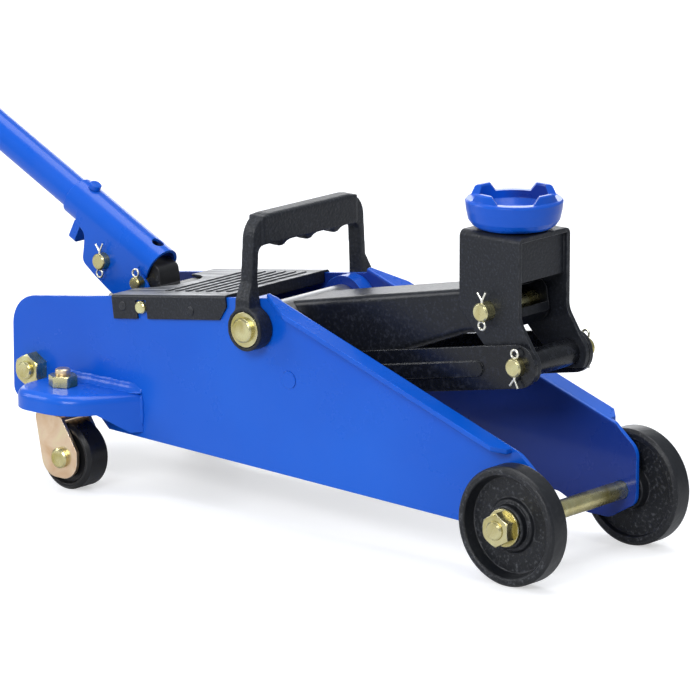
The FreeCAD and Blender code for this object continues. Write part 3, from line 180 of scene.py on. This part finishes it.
def blue_enamel_finish():
    """Gloss blue enamel with orange peel, lighter edges (worn paint plus a painted highlight), and inner
    faces painted darker as painted shade.
    """
    material, tree, shader = finish_material(
        "blue enamel", Coat_Weight=0.16, Coat_Roughness=0.08, IOR=1.5, Specular_IOR_Level=0.22)
    edge_marks = group_node(tree, edge_mask, Radius=0.0009, Break_Up=120.0)
    film = group_node(tree, dust_film, Scale=11.0, Amount=0.035)
    place = add(tree, "ShaderNodeTexCoord")
    pooling = add(tree, "ShaderNodeTexNoise",
                  [("Vector", place.outputs["Object"]), ("Scale", 6.0), ("Detail", 3.0)])
    depth = add(tree, "ShaderNodeMapRange",
                [("Value", pooling.outputs["Fac"]), ("From Min", 0.3), ("From Max", 0.7)])
    coat = mix(tree, depth.outputs["Result"], (0.0012, 0.074, 0.50, 1), (0.0016, 0.104, 0.60, 1))
    # Faces that look inwards, towards the middle of the jack, get a darker navy: painted shade.
    facing = add(tree, "ShaderNodeSeparateXYZ", [("Vector", place.outputs["Normal"])])
    where = add(tree, "ShaderNodeSeparateXYZ", [("Vector", place.outputs["Object"])])
    hand = add(tree, "ShaderNodeMath", [(0, where.outputs["Y"])], operation="SIGN")
    outward = add(tree, "ShaderNodeMath", [(0, facing.outputs["Y"]), (1, hand.outputs["Value"])],
                  operation="MULTIPLY")
    painted_inner_shade = add(tree, "ShaderNodeMapRange",
                 [("Value", outward.outputs["Value"]), ("From Min", -0.55), ("From Max", -0.9),
                  ("To Max", 0.82)])
    inner_shaded_coat = mix(tree, painted_inner_shade.outputs["Result"], coat, (0.010, 0.020, 0.17, 1))
    # Lighter blue along the edges: partly thinner paint, partly a painted edge highlight.
    lighter_edges = mix(tree, edge_marks.outputs["Mask"], inner_shaded_coat, (0.01, 0.17, 0.86, 1))
    dusty = mix(tree, film.outputs["Mask"], lighter_edges, (0.42, 0.46, 0.55, 1))
    tree.links.new(dusty, shader.inputs["Base Color"])
    gloss = add(tree, "ShaderNodeMapRange",
                [("Value", film.outputs["Smudge"]), ("To Min", 0.24), ("To Max", 0.36)])
    tree.links.new(gloss.outputs["Result"], shader.inputs["Roughness"])
    peel = add(tree, "ShaderNodeTexNoise",
               [("Vector", place.outputs["Object"]), ("Scale", 520.0), ("Detail", 2.0)])
    bump = add(tree, "ShaderNodeBump",
               [("Strength", 0.05), ("Distance", 0.0006), ("Height", peel.outputs["Fac"]),
                ("Normal", edge_marks.outputs["Normal"])])
    tree.links.new(bump.outputs["Normal"], shader.inputs["Normal"])
    return material


blue_enamel = blue_enamel_finish()
wear_material(
    blue_enamel, "side_plate_right", "side_plate_left", "pivot_boss_right", "pivot_boss_left",
    "caster_ear_right", "caster_ear_left", "handle_socket", "handle_tube", "handle_screw",
    "link_rear_pins", "saddle",
)


# ---- Weld beads between the caster ears and the plates ----
# A hollow fillet of weld metal laid along each ear's top edge and a thin bead down its
# front, both painted over with the same enamel.

def placed_object(name, data):
    """An object in the scene that holds the given mesh, light or camera."""
    piece = bpy.data.objects.new(name, data)
    bpy.context.scene.collection.objects.link(piece)
    return piece


def built_piece(name, mesh, flat_ends=False):
    """A smooth-shaded object from a built mesh, whose end caps may stay flat."""
    bmesh.ops.recalc_face_normals(mesh, faces=mesh.faces)
    data = bpy.data.meshes.new(name)
    mesh.to_mesh(data)
    mesh.free()
    for polygon in data.polygons:
        polygon.use_smooth = not flat_ends or len(polygon.vertices) == 4
    return placed_object(name, data)


def join_rings(mesh, rings):
    """Quads between each ring of points and the next."""
    for first, second in zip(rings, rings[1:]):
        for corner in range(len(first)):
            after = (corner + 1) % len(first)
            mesh.faces.new((first[corner], first[after], second[after], second[corner]))


def cap_rings(mesh, rings):
    """A face over the first ring and one over the last."""
    mesh.faces.new(list(reversed(rings[0])))
    mesh.faces.new(rings[-1])


def weld_bead(name, start, end, radius, pitch, seed):
    """A bead of overlapping ripples between two points, thinner at its ends."""
    mesh = bmesh.new()
    corners = 8
    steps = int((end - start).length / pitch)
    along = (end - start).normalized()
    side = along.cross(Vector((0, 0, 1))).normalized()
    up = side.cross(along).normalized()
    rings = []
    for step in range(steps + 1):
        point = start.lerp(end, step / steps)
        ripple = 1 + 0.16 * math.sin(step * 2.1 + seed) + 0.06 * math.sin(step * 0.7 + seed)
        ends = min(1, 0.25 + 0.4 * min(step, steps - step))
        ring = []
        for corner in range(corners):
            angle = math.tau * corner / corners
            offset = side * math.cos(angle) + up * math.sin(angle)
            ring.append(mesh.verts.new(point + offset * radius * ripple * ends))
        rings.append(ring)
    join_rings(mesh, rings)
    cap_rings(mesh, rings)
    return built_piece(name, mesh)


def weld_fillet(name, start, end, outward, leg, seed):
    """A hollow-faced fillet of weld metal between two points on a wall, seen from outwards."""
    mesh = bmesh.new()
    steps = 46
    corners = 7
    sunk = 0.0004
    rings = []
    for step in range(steps + 1):
        along = step / steps
        ripple = 1 + 0.035 * math.sin(step * 1.9 + seed) + 0.03 * math.sin(step * 0.63 + seed)
        reach = leg * ripple * min(1, 0.35 + 7 * min(along, 1 - along))
        foot = start.lerp(end, along)
        ring = [mesh.verts.new(foot + Vector((0, -outward * sunk, -0.0006)))]
        for corner in range(corners):
            angle = math.pi / 2 * corner / (corners - 1)
            across = reach * (1 - math.sin(angle))
            above = reach * (1 - math.cos(angle))
            ring.append(mesh.verts.new(foot + Vector((0, outward * across, above - 0.0002))))
        ring.append(mesh.verts.new(foot + Vector((0, -outward * sunk, reach))))
        rings.append(ring)
    join_rings(mesh, rings)
    cap_rings(mesh, rings)
    return built_piece(name, mesh, flat_ends=True)


plate_face = 0.0500
fillet_leg = 0.0058
bead_radius = 0.0017
bead_pitch = 0.0022
bead_drop = 0.022
for side, sign in (("right", -1), ("left", 1)):
    low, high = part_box("caster_ear_" + side)
    face = sign * plate_face
    top = high[2]
    fillet = weld_fillet(
        "ear_weld_" + side, Vector((low[0] + 0.003, face, top)),
        Vector((high[0] - 0.001, face, top)), sign, fillet_leg, 3 + sign,
    )
    bead = weld_bead(
        "ear_side_weld_" + side,
        Vector((high[0] - 0.0015, face * 1.006, top - 0.001)),
        Vector((high[0] - 0.0008, face * 1.006, top - bead_drop)),
        bead_radius, bead_pitch, 3 + sign,
    )
    for piece in (fillet, bead):
        piece.data.materials.append(blue_enamel)
        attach(piece, "frame")


# ---- Lift arm, parallel links, saddle bracket, reservoir tube: black powder coat ----
# Folded and pressed sheet baked with a leather-grain polyester powder, so flats sparkle finely;
# bends and edges are painted as soft grey bands, partly worn powder and partly a painted edge highlight.

def powder_finish(name, shade, grain, rough, bump_strength, dust):
    """A baked powder coat with a fine pebble grain."""
    material, tree, shader = finish_material(name, IOR=1.5, Specular_IOR_Level=0.34)
    edge_marks = group_node(tree, edge_mask, Radius=0.0010, Break_Up=160.0)
    film = group_node(tree, dust_film, Scale=16.0, Amount=dust)
    place = add(tree, "ShaderNodeTexCoord")
    pebble = add(tree, "ShaderNodeTexNoise",
                 [("Vector", place.outputs["Object"]), ("Scale", grain), ("Detail", 4.0), ("Roughness", 0.6)])
    cells = add(tree, "ShaderNodeTexVoronoi",
                [("Vector", place.outputs["Object"]), ("Scale", grain * 0.9)], feature="SMOOTH_F1")
    height = add(tree, "ShaderNodeMath", [(0, pebble.outputs["Fac"]), (1, cells.outputs["Distance"])],
                 operation="ADD")
    speckle = add(tree, "ShaderNodeMapRange",
                  [("Value", pebble.outputs["Fac"]), ("From Min", 0.52), ("From Max", 0.72)])
    light = (shade[0] * 2.4 + 0.008, shade[1] * 2.4 + 0.008, shade[2] * 2.4 + 0.010, 1)
    coat = mix(tree, speckle.outputs["Result"], (*shade, 1), light)
    # Grey along the edges: partly worn powder, partly a painted edge highlight.
    lighter_edges = mix(tree, edge_marks.outputs["Mask"], coat, (0.085, 0.088, 0.095, 1))
    dusty = mix(tree, film.outputs["Mask"], lighter_edges, (0.36, 0.36, 0.37, 1))
    tree.links.new(dusty, shader.inputs["Base Color"])
    gloss = add(tree, "ShaderNodeMapRange",
                [("Value", pebble.outputs["Fac"]), ("To Min", rough - 0.1), ("To Max", rough + 0.12)])
    tree.links.new(gloss.outputs["Result"], shader.inputs["Roughness"])
    bump = add(tree, "ShaderNodeBump",
               [("Strength", bump_strength), ("Distance", 0.0006), ("Height", height.outputs["Value"]),
                ("Normal", edge_marks.outputs["Normal"])])
    tree.links.new(bump.outputs["Normal"], shader.inputs["Normal"])
    return material


black_powder = powder_finish("black powder coat", (0.0080, 0.0095, 0.0135), 620.0, 0.40, 0.30, 0.035)
wear_material(black_powder, "saddle_bracket", "reservoir_tube")
wear_material(powder_finish("smooth black powder coat", (0.0060, 0.0072, 0.0105), 480.0, 0.34, 0.14, 0.03),
              "lift_arm")
wear_material(powder_finish("gloss black enamel", (0.0045, 0.0054, 0.0080), 300.0, 0.26, 0.05, 0.02),
              "link_right", "link_left", "lower_spacer")


# ---- Top cover: black powder coat with a painted reflection ----
# A folded cover: its upper face carries long pale streaks painted into the colour, a painted
# reflection of the bright surroundings seen at a grazing angle.

def cover_finish():
    """The powder coat of the cover, with pale streaks on its top that are a painted reflection."""
    material = black_powder.copy()
    material.name = "powder coat with painted reflection streaks"
    tree = material.node_tree
    shader = tree.nodes["Principled BSDF"]
    place = add(tree, "ShaderNodeTexCoord")
    stretched = add(tree, "ShaderNodeMapping",
                    [("Vector", place.outputs["Object"]), ("Scale", (7.0, 150.0, 10.0)),
                     ("Rotation", (0, 0, 0.25))])
    # Long pale streaks on faces that look up: a painted reflection of the bright surroundings.
    streaks = add(tree, "ShaderNodeTexNoise",
                  [("Vector", stretched.outputs["Vector"]), ("Scale", 1.6), ("Detail", 6.0),
                   ("Roughness", 0.7)])
    bright = add(tree, "ShaderNodeMapRange",
                 [("Value", streaks.outputs["Fac"]), ("From Min", 0.40), ("From Max", 0.62),
                  ("To Max", 0.80)])
    face = add(tree, "ShaderNodeSeparateXYZ", [("Vector", place.outputs["Normal"])])
    upward = add(tree, "ShaderNodeMapRange",
                 [("Value", face.outputs["Z"]), ("From Min", 0.8), ("From Max", 0.98)])
    painted_reflection = add(tree, "ShaderNodeMath", [(0, bright.outputs["Result"]), (1, upward.outputs["Result"])],
                operation="MULTIPLY")
    before = shader.inputs["Base Color"].links[0].from_socket
    tree.links.new(mix(tree, painted_reflection.outputs["Value"], before, (0.46, 0.47, 0.49, 1)),
                   shader.inputs["Base Color"])
    return material


cover_powder_with_painted_reflection = cover_finish()
wear_material(cover_powder_with_painted_reflection, "top_cover")


def pressed_dimple(name, centre, outward, radius):
    """A shallow round dimple with a raised lip, pressed in a wall that faces along Y."""
    lip_and_bowl = ((1.0, 0.0), (0.94, 0.00030), (0.80, 0.00042), (0.62, 0.00030), (0.35, 0.00010))
    bowl_floor = 0.00004
    root = 0.0003
    sides = 28
    mesh = bmesh.new()
    rings = []
    for share, height in lip_and_bowl:
        ring = []
        for turn in range(sides):
            angle = math.tau * turn / sides
            ring.append(mesh.verts.new(centre + Vector((
                math.cos(angle) * radius * share, outward * height,
                math.sin(angle) * radius * share))))
        rings.append(ring)
    middle = mesh.verts.new(centre + Vector((0, outward * bowl_floor, 0)))
    back = mesh.verts.new(centre - Vector((0, outward * root, 0)))
    join_rings(mesh, rings)
    for turn in range(sides):
        after = (turn + 1) % sides
        mesh.faces.new((rings[-1][turn], rings[-1][after], middle))
        mesh.faces.new((rings[0][after], rings[0][turn], back))
    return built_piece(name, mesh)


cover_low, cover_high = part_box("top_cover")
bolt_low, bolt_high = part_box("unit_bolts")
bolt_x = (bolt_low[0] + bolt_high[0]) / 2
bolt_z = (bolt_low[2] + bolt_high[2]) / 2
dimple_radius = 0.0031
for side, sign in (("right", -1), ("left", 1)):
    wall = cover_high[1] if sign > 0 else cover_low[1]
    for place_name, ahead, above in (("rear", -0.0165, -0.0016), ("front", 0.0435, 0.0040)):
        dimple = pressed_dimple(
            "cover_dimple_" + place_name + "_" + side,
            Vector((bolt_x + ahead, wall, bolt_z + above)), sign, dimple_radius)
        dimple.data.materials.append(cover_powder_with_painted_reflection)
        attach(dimple, "frame")


# ---- Front wheels and pump body: painted castings ----
# Sand-cast iron dipped in black paint: the treads are turned smooth, the dished faces
# keep the grain of the mould.

def casting_finish(name, shade, scale, strength):
    """Black paint over a sand-cast skin."""
    material, tree, shader = finish_material(name, IOR=1.5, Specular_IOR_Level=0.36)
    edge_marks = group_node(tree, edge_mask, Radius=0.0014, Break_Up=140.0)
    film = group_node(tree, dust_film, Scale=20.0, Amount=0.05)
    place = add(tree, "ShaderNodeTexCoord")
    sand = add(tree, "ShaderNodeTexNoise",
               [("Vector", place.outputs["Object"]), ("Scale", scale), ("Detail", 5.0), ("Roughness", 0.7)])
    face = add(tree, "ShaderNodeSeparateXYZ", [("Vector", place.outputs["Normal"])])
    sideways = add(tree, "ShaderNodeMath", [(0, face.outputs["Y"])], operation="ABSOLUTE")
    cast_skin = add(tree, "ShaderNodeMapRange",
                    [("Value", sideways.outputs["Value"]), ("From Min", 0.5), ("From Max", 0.9),
                     ("To Min", 0.12)])
    grain = add(tree, "ShaderNodeMapRange",
                [("Value", sand.outputs["Fac"]), ("From Min", 0.54), ("From Max", 0.70)])
    glint = add(tree, "ShaderNodeMath", [(0, grain.outputs["Result"]), (1, cast_skin.outputs["Result"])],
                operation="MULTIPLY")
    lumps = add(tree, "ShaderNodeTexNoise",
                [("Vector", place.outputs["Object"]), ("Scale", scale * 0.22), ("Detail", 2.0)])
    skin = add(tree, "ShaderNodeMath", [(0, sand.outputs["Fac"]), (1, cast_skin.outputs["Result"])],
               operation="MULTIPLY")
    height = add(tree, "ShaderNodeMath", [(0, skin.outputs["Value"]), (1, lumps.outputs["Fac"])],
                 operation="ADD")
    paint = mix(tree, lumps.outputs["Fac"], (*shade, 1), tuple(1.6 * c for c in shade) + (1,))
    coat = mix(tree, glint.outputs["Value"], paint, (0.085, 0.088, 0.098, 1))
    lighter_edges = mix(tree, edge_marks.outputs["Mask"], coat, (0.07, 0.07, 0.078, 1))
    dusty = mix(tree, film.outputs["Mask"], lighter_edges, (0.33, 0.33, 0.34, 1))
    tree.links.new(dusty, shader.inputs["Base Color"])
    gloss = add(tree, "ShaderNodeMapRange",
                [("Value", sand.outputs["Fac"]), ("To Min", 0.28), ("To Max", 0.46)])
    tree.links.new(gloss.outputs["Result"], shader.inputs["Roughness"])
    bump = add(tree, "ShaderNodeBump",
               [("Strength", strength), ("Distance", 0.0010), ("Height", height.outputs["Value"]),
                ("Normal", edge_marks.outputs["Normal"])])
    tree.links.new(bump.outputs["Normal"], shader.inputs["Normal"])
    return material


wheel_paint = casting_finish("black casting", (0.0050, 0.0058, 0.0078), 420.0, 0.55)
wear_material(wheel_paint, "front_wheel_right", "front_wheel_left")
wear_material(casting_finish("rough black casting", (0.008, 0.008, 0.009), 190.0, 0.6), "pump_block")


# ---- Caster wheels, handle grip, filler plug: moulded black polymer ----
# The caster wheels are turned nylon, the grip is a dipped vinyl sleeve with a fine matt
# skin, and the filler plug is a push-in rubber bung.

def polymer_finish(name, shade, rough, strength):
    """A dark moulded polymer with a matt skin."""
    material, tree, shader = finish_material(name, IOR=1.46, Specular_IOR_Level=0.34)
    edge_marks = group_node(tree, edge_mask, Radius=0.0010, Break_Up=200.0)
    film = group_node(tree, dust_film, Scale=30.0, Amount=0.04)
    place = add(tree, "ShaderNodeTexCoord")
    skin = add(tree, "ShaderNodeTexNoise",
               [("Vector", place.outputs["Object"]), ("Scale", 700.0), ("Detail", 3.0)])
    rubbed = mix(tree, edge_marks.outputs["Mask"], (*shade, 1), (0.08, 0.08, 0.085, 1))
    dusty = mix(tree, film.outputs["Mask"], rubbed, (0.30, 0.30, 0.30, 1))
    tree.links.new(dusty, shader.inputs["Base Color"])
    gloss = add(tree, "ShaderNodeMapRange",
                [("Value", film.outputs["Smudge"]), ("To Min", rough - 0.07), ("To Max", rough + 0.1)])
    tree.links.new(gloss.outputs["Result"], shader.inputs["Roughness"])
    bump = add(tree, "ShaderNodeBump",
               [("Strength", strength), ("Distance", 0.0004), ("Height", skin.outputs["Fac"]),
                ("Normal", edge_marks.outputs["Normal"])])
    tree.links.new(bump.outputs["Normal"], shader.inputs["Normal"])
    return material


wear_material(polymer_finish("black nylon", (0.007, 0.007, 0.008), 0.34, 0.2),
              "caster_wheel_right", "caster_wheel_left")
wear_material(polymer_finish("black vinyl", (0.009, 0.009, 0.010), 0.60, 0.35),
              "handle_grip", "filler_plug")


# ---- Fasteners, axle, caster forks, split pins: yellow passivated zinc ----
# Steel plated with zinc and dipped in chromate, which leaves a pale gold that drifts to
# pink and green where the film is thicker.

def zinc_finish(name, pale, deep, between, rough):
    """Yellow chromate over zinc plate, uneven in tint, over fine machining lines."""
    material, tree, shader = finish_material(name)
    edge_marks = group_node(tree, edge_mask, Radius=0.0006, Break_Up=240.0)
    place = add(tree, "ShaderNodeTexCoord")
    drift = add(tree, "ShaderNodeTexNoise",
                [("Vector", place.outputs["Object"]), ("Scale", 55.0), ("Detail", 4.0), ("Distortion", 0.6)])
    ramp = tree.nodes.new("ShaderNodeValToRGB")
    ramp.color_ramp.elements[0].position = 0.30
    ramp.color_ramp.elements[0].color = (*deep, 1)
    ramp.color_ramp.elements[1].position = 0.72
    ramp.color_ramp.elements[1].color = (*pale, 1)
    blush = ramp.color_ramp.elements.new(0.52)
    blush.color = (*between, 1)
    tree.links.new(drift.outputs["Fac"], ramp.inputs["Fac"])
    bright = mix(tree, edge_marks.outputs["Mask"], ramp.outputs["Color"], (0.88, 0.85, 0.76, 1))
    tree.links.new(bright, shader.inputs["Base Color"])
    cloud = add(tree, "ShaderNodeTexNoise",
                [("Vector", place.outputs["Object"]), ("Scale", 130.0), ("Detail", 5.0)])
    gloss = add(tree, "ShaderNodeMapRange",
                [("Value", cloud.outputs["Fac"]), ("To Min", rough - 0.08), ("To Max", rough + 0.14)])
    tree.links.new(gloss.outputs["Result"], shader.inputs["Roughness"])
    metal = add(tree, "ShaderNodeMapRange",
                [("Value", cloud.outputs["Fac"]), ("From Min", 0.3), ("From Max", 0.6), ("To Min", 0.82)])
    tree.links.new(metal.outputs["Result"], shader.inputs["Metallic"])
    bump = add(tree, "ShaderNodeBump",
               [("Strength", 0.10), ("Distance", 0.0003), ("Height", cloud.outputs["Fac"]),
                ("Normal", edge_marks.outputs["Normal"])])
    tree.links.new(bump.outputs["Normal"], shader.inputs["Normal"])
    return material


yellow_zinc = zinc_finish(
    "yellow zinc", (0.70, 0.69, 0.38), (0.42, 0.36, 0.11), (0.60, 0.54, 0.28), 0.24)
wear_material(
    yellow_zinc, "unit_bolts", "rear_cross_bolt", "rear_cross_nuts", "front_axle", "front_axle_nuts",
    "front_axle_washers", "upper_pin", "lower_pin", "pump_pivot_pin", "plunger_pin",
    "caster_nut_right", "caster_nut_left", "caster_rivet_right", "caster_rivet_left",
    "saddle_ring", "release_valve", "lift_shaft", "lift_shaft_rings",
)
wear_material(zinc_finish("pink zinc", (0.78, 0.68, 0.42), (0.66, 0.44, 0.26), (0.76, 0.58, 0.40), 0.30),
              "caster_fork_right", "caster_fork_left")
wear_material(zinc_finish("pale zinc wire", (0.92, 0.91, 0.84), (0.80, 0.77, 0.60), (0.86, 0.84, 0.72), 0.24),
              "upper_pin_cotters", "lower_pin_cotters", "socket_pin_cotters")


# ---- Ram, cylinder, thrust pins and springs: ground and plated steel ----
# The working parts inside are bare: ground pins, an oiled cylinder tube and a hard
# chromed ram.

def steel_finish(name, tint, rough, lines):
    """Bare steel with turning lines and an oily unevenness."""
    material, tree, shader = finish_material(name, Metallic=1.0)
    edge_marks = group_node(tree, edge_mask, Radius=0.0006, Break_Up=200.0)
    place = add(tree, "ShaderNodeTexCoord")
    turning = add(tree, "ShaderNodeMapping",
                  [("Vector", place.outputs["Object"]), ("Scale", (lines, 60.0, 60.0))])
    marks = add(tree, "ShaderNodeTexNoise",
                [("Vector", turning.outputs["Vector"]), ("Scale", 1.0), ("Detail", 4.0)])
    oil = add(tree, "ShaderNodeTexNoise",
              [("Vector", place.outputs["Object"]), ("Scale", 40.0), ("Detail", 4.0)])
    stained = mix(tree, oil.outputs["Fac"], tuple(0.72 * c for c in tint) + (1,), (*tint, 1))
    bright = mix(tree, edge_marks.outputs["Mask"], stained, (0.9, 0.9, 0.9, 1))
    tree.links.new(bright, shader.inputs["Base Color"])
    gloss = add(tree, "ShaderNodeMapRange",
                [("Value", marks.outputs["Fac"]), ("To Min", rough - 0.06), ("To Max", rough + 0.12)])
    tree.links.new(gloss.outputs["Result"], shader.inputs["Roughness"])
    bump = add(tree, "ShaderNodeBump",
               [("Strength", 0.08), ("Distance", 0.0002), ("Height", marks.outputs["Fac"]),
                ("Normal", edge_marks.outputs["Normal"])])
    tree.links.new(bump.outputs["Normal"], shader.inputs["Normal"])
    return material


oiled_steel = steel_finish("oiled steel", (0.50, 0.50, 0.51), 0.32, 900.0)
wear_material(
    oiled_steel, "arm_sleeve", "thrust_pin", "thrust_roller",
    "spring_studs", "pressure_cylinder", "gland_ring", "ram_head", "pump_plunger",
)
wear_material(steel_finish("hard chrome", (0.78, 0.78, 0.80), 0.14, 1400.0), "ram_rod")


# ---- Return springs ----
# Two close-wound springs of 1.6 mm music wire, strung between the thin pin in the arm's
# lever and the lugs of the pump body. Only the coils are made, without their end hooks.

def spring_tree():
    """A helix of a given length and number of turns, swept with round wire."""
    tree = bpy.data.node_groups.new("tension_spring", "GeometryNodeTree")
    for name, kind, value in (
        ("Length", "NodeSocketFloat", 0.1), ("Coil Radius", "NodeSocketFloat", 0.003),
        ("Wire Radius", "NodeSocketFloat", 0.0008), ("Turns", "NodeSocketFloat", 40.0),
        ("Finish", "NodeSocketMaterial", None),
    ):
        socket = tree.interface.new_socket(name, in_out="INPUT", socket_type=kind)
        if value is not None:
            socket.default_value = value
    tree.interface.new_socket("Geometry", in_out="OUTPUT", socket_type="NodeSocketGeometry")
    given = tree.nodes.new("NodeGroupInput").outputs
    out = tree.nodes.new("NodeGroupOutput").inputs
    helix = add(tree, "GeometryNodeCurveSpiral",
                [("Resolution", 14), ("Rotations", given["Turns"]), ("Start Radius", given["Coil Radius"]),
                 ("End Radius", given["Coil Radius"]), ("Height", given["Length"])])
    wire = add(tree, "GeometryNodeCurvePrimitiveCircle",
               [("Resolution", 7), ("Radius", given["Wire Radius"])])
    sweep = add(tree, "GeometryNodeCurveToMesh",
                [("Curve", helix.outputs["Curve"]), ("Profile Curve", wire.outputs["Curve"]),
                 ("Fill Caps", True)])
    smooth = add(tree, "GeometryNodeSetShadeSmooth", [("Geometry", sweep.outputs["Mesh"])])
    realised = add(tree, "GeometryNodeRealizeInstances", [("Geometry", smooth.outputs["Geometry"])])
    coloured = add(tree, "GeometryNodeSetMaterial",
                   [("Geometry", realised.outputs["Geometry"]), ("Material", given["Finish"])])
    tree.links.new(coloured.outputs["Geometry"], out["Geometry"])
    return tree


def plain_mesh(name, tree, values):
    """The mesh that a Geometry Nodes tree makes with the given named inputs."""
    holder = placed_object(name + "_source", bpy.data.meshes.new(name + "_source"))
    modifier = holder.modifiers.new("shape", "NODES")
    modifier.node_group = tree
    for item in tree.interface.items_tree:
        if item.item_type == "SOCKET" and item.in_out == "INPUT" and item.name in values:
            modifier[item.identifier] = values[item.name]
    graph = bpy.context.evaluated_depsgraph_get()
    mesh = bpy.data.meshes.new_from_object(holder.evaluated_get(graph))
    bpy.data.objects.remove(holder)
    mesh.name = name
    return placed_object(name, mesh)


tension_spring = spring_tree()
spring_steel = steel_finish("spring wire", (0.34, 0.34, 0.35), 0.36, 300.0)
wire_radius = 0.0008
coil_radius = 0.0028
coil_pitch = 0.0021
spring_half = coil_radius + wire_radius
for side in ("right", "left"):
    low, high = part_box("return_spring_" + side)
    start = Vector((low[0] + 0.001, (low[1] + high[1]) / 2, low[2] + spring_half))
    end = Vector((high[0] - 0.001, (low[1] + high[1]) / 2, high[2] - spring_half))
    run = end - start
    spring = plain_mesh("return_spring_coil_" + side, tension_spring, {
        "Length": run.length, "Coil Radius": coil_radius, "Wire Radius": wire_radius,
        "Turns": round(run.length / coil_pitch), "Finish": spring_steel,
    })
    spring.data.transform(Matrix.Translation(start) @ run.to_track_quat("Z", "Y").to_matrix().to_4x4())
    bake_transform(spring)
    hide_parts("return_spring_" + side)


# ---- Carrying handle ----
# A bail moulded in black polypropylene with a leather-grain skin: broad flat faces, a
# rounded outer edge, finger scallops under the grip and round eyes over the shaft ends.

def softened_copy(name, node, voxel, rounds):
    """A copy of a CAD node whose edges are all rounded over, as a moulding's are."""
    data = nodes[node].data.copy()
    data.materials.clear()
    welded = bmesh.new()
    welded.from_mesh(data)
    bmesh.ops.remove_doubles(welded, verts=welded.verts, dist=0.00001)
    welded.to_mesh(data)
    welded.free()
    holder = placed_object(name + "_source", data)
    skin = holder.modifiers.new("skin", "REMESH")
    skin.mode = "VOXEL"
    skin.voxel_size = voxel
    ease = holder.modifiers.new("ease", "SMOOTH")
    ease.factor = 0.5
    ease.iterations = rounds
    graph = bpy.context.evaluated_depsgraph_get()
    mesh = bpy.data.meshes.new_from_object(holder.evaluated_get(graph))
    bpy.data.objects.remove(holder)
    mesh.name = name
    for polygon in mesh.polygons:
        polygon.use_smooth = True
    return placed_object(name, mesh)


bail_plastic = powder_finish("grained black plastic", (0.0095, 0.0112, 0.0150), 560.0, 0.42, 0.45, 0.03)
grain_size = 0.0008
smoothing_rounds = 8
bail = softened_copy("moulded_bail", "carry_handle", grain_size, smoothing_rounds)
bail.data.materials.append(bail_plastic)
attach(bail, "carry_handle")
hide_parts("carry_handle")


# ---- Floor, light and camera ----
# A plain pale floor, painted matt, under four soft lights: one overhead, one in front,
# one to the left and a low card behind that edges the dark pieces.

floor_half = 6
floor_mesh = bpy.data.meshes.new("floor")
floor_mesh.from_pydata(
    [(-floor_half, -floor_half, 0), (floor_half, -floor_half, 0),
     (floor_half, floor_half, 0), (-floor_half, floor_half, 0)], [], [(0, 1, 2, 3)])
floor = placed_object("floor", floor_mesh)
floor_paint, floor_tree, floor_shader = finish_material("pale floor", Specular_IOR_Level=0.15)
floor_place = add(floor_tree, "ShaderNodeTexCoord")
floor_grain = add(floor_tree, "ShaderNodeTexNoise",
                  [("Vector", floor_place.outputs["Object"]), ("Scale", 3.0), ("Detail", 2.0)])
floor_tree.links.new(
    mix(floor_tree, floor_grain.outputs["Fac"], (0.60, 0.605, 0.62, 1), (0.63, 0.635, 0.65, 1)),
    floor_shader.inputs["Base Color"])
floor_shader.inputs["Roughness"].default_value = 0.6
floor_shader.inputs["Emission Color"].default_value = (1.0, 1.0, 1.0, 1)
floor_rays = add(floor_tree, "ShaderNodeLightPath")
floor_glow = add(floor_tree, "ShaderNodeMapRange",
                 [("Value", floor_rays.outputs["Is Camera Ray"]), ("To Min", 0.06), ("To Max", 0.52)])
floor_tree.links.new(floor_glow.outputs["Result"], floor_shader.inputs["Emission Strength"])
floor_mesh.materials.append(floor_paint)


def soft_light(name, place, target, width, height, power):
    """A large rectangular softbox that faces a point."""
    lamp = bpy.data.lights.new(name, "AREA")
    lamp.shape = "RECTANGLE"
    lamp.size = width
    lamp.size_y = height
    lamp.energy = power
    rig = placed_object(name, lamp)
    rig.location = place
    rig.rotation_euler = (Vector(target) - Vector(place)).to_track_quat("-Z", "Y").to_euler()


middle = (0.1, 0, 0.1)
soft_light("overhead softbox", (0.1, 0.3, 2.2), middle, 2.2, 1.4, 38)
soft_light("front softbox", (0.9, -2.3, 1.5), middle, 1.3, 0.9, 42)
soft_light("left softbox", (-2.0, -1.3, 1.3), middle, 0.9, 1.2, 20)
soft_light("back card", (-1.75, 2.15, 0.78), middle, 2.6, 1.1, 24)

world = bpy.data.worlds.new("studio")
world.use_nodes = True
world.node_tree.nodes["Background"].inputs["Color"].default_value = (0.86, 0.92, 1.0, 1)
world.node_tree.nodes["Background"].inputs["Strength"].default_value = 0.40
bpy.context.scene.world = world
bpy.context.scene.view_settings.view_transform = "Standard"

azimuth = math.radians(40.48)
elevation = math.radians(13.58)
back = Vector((math.sin(azimuth) * math.cos(elevation), -math.cos(azimuth) * math.cos(elevation),
               math.sin(elevation)))
right = Vector((math.cos(azimuth), math.sin(azimuth), 0))
up = back.cross(right)
lens = bpy.data.cameras.new("camera")
lens.sensor_width = 36
lens.lens = 264.2
lens.clip_start = 0.05
lens.clip_end = 60
axle_low, axle_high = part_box("front_axle")
below_axle = Vector(((axle_low[0] + axle_high[0]) / 2, 0, 0))
camera_left = 0.14081
camera_up = 0.13368
camera_away = 3.22336
camera = placed_object("camera", lens)
camera.matrix_world = Matrix.Translation(
    below_axle - right * camera_left + up * camera_up + back * camera_away
) @ Matrix((right, up, back)).transposed().to_4x4()
bpy.context.scene.camera = camera
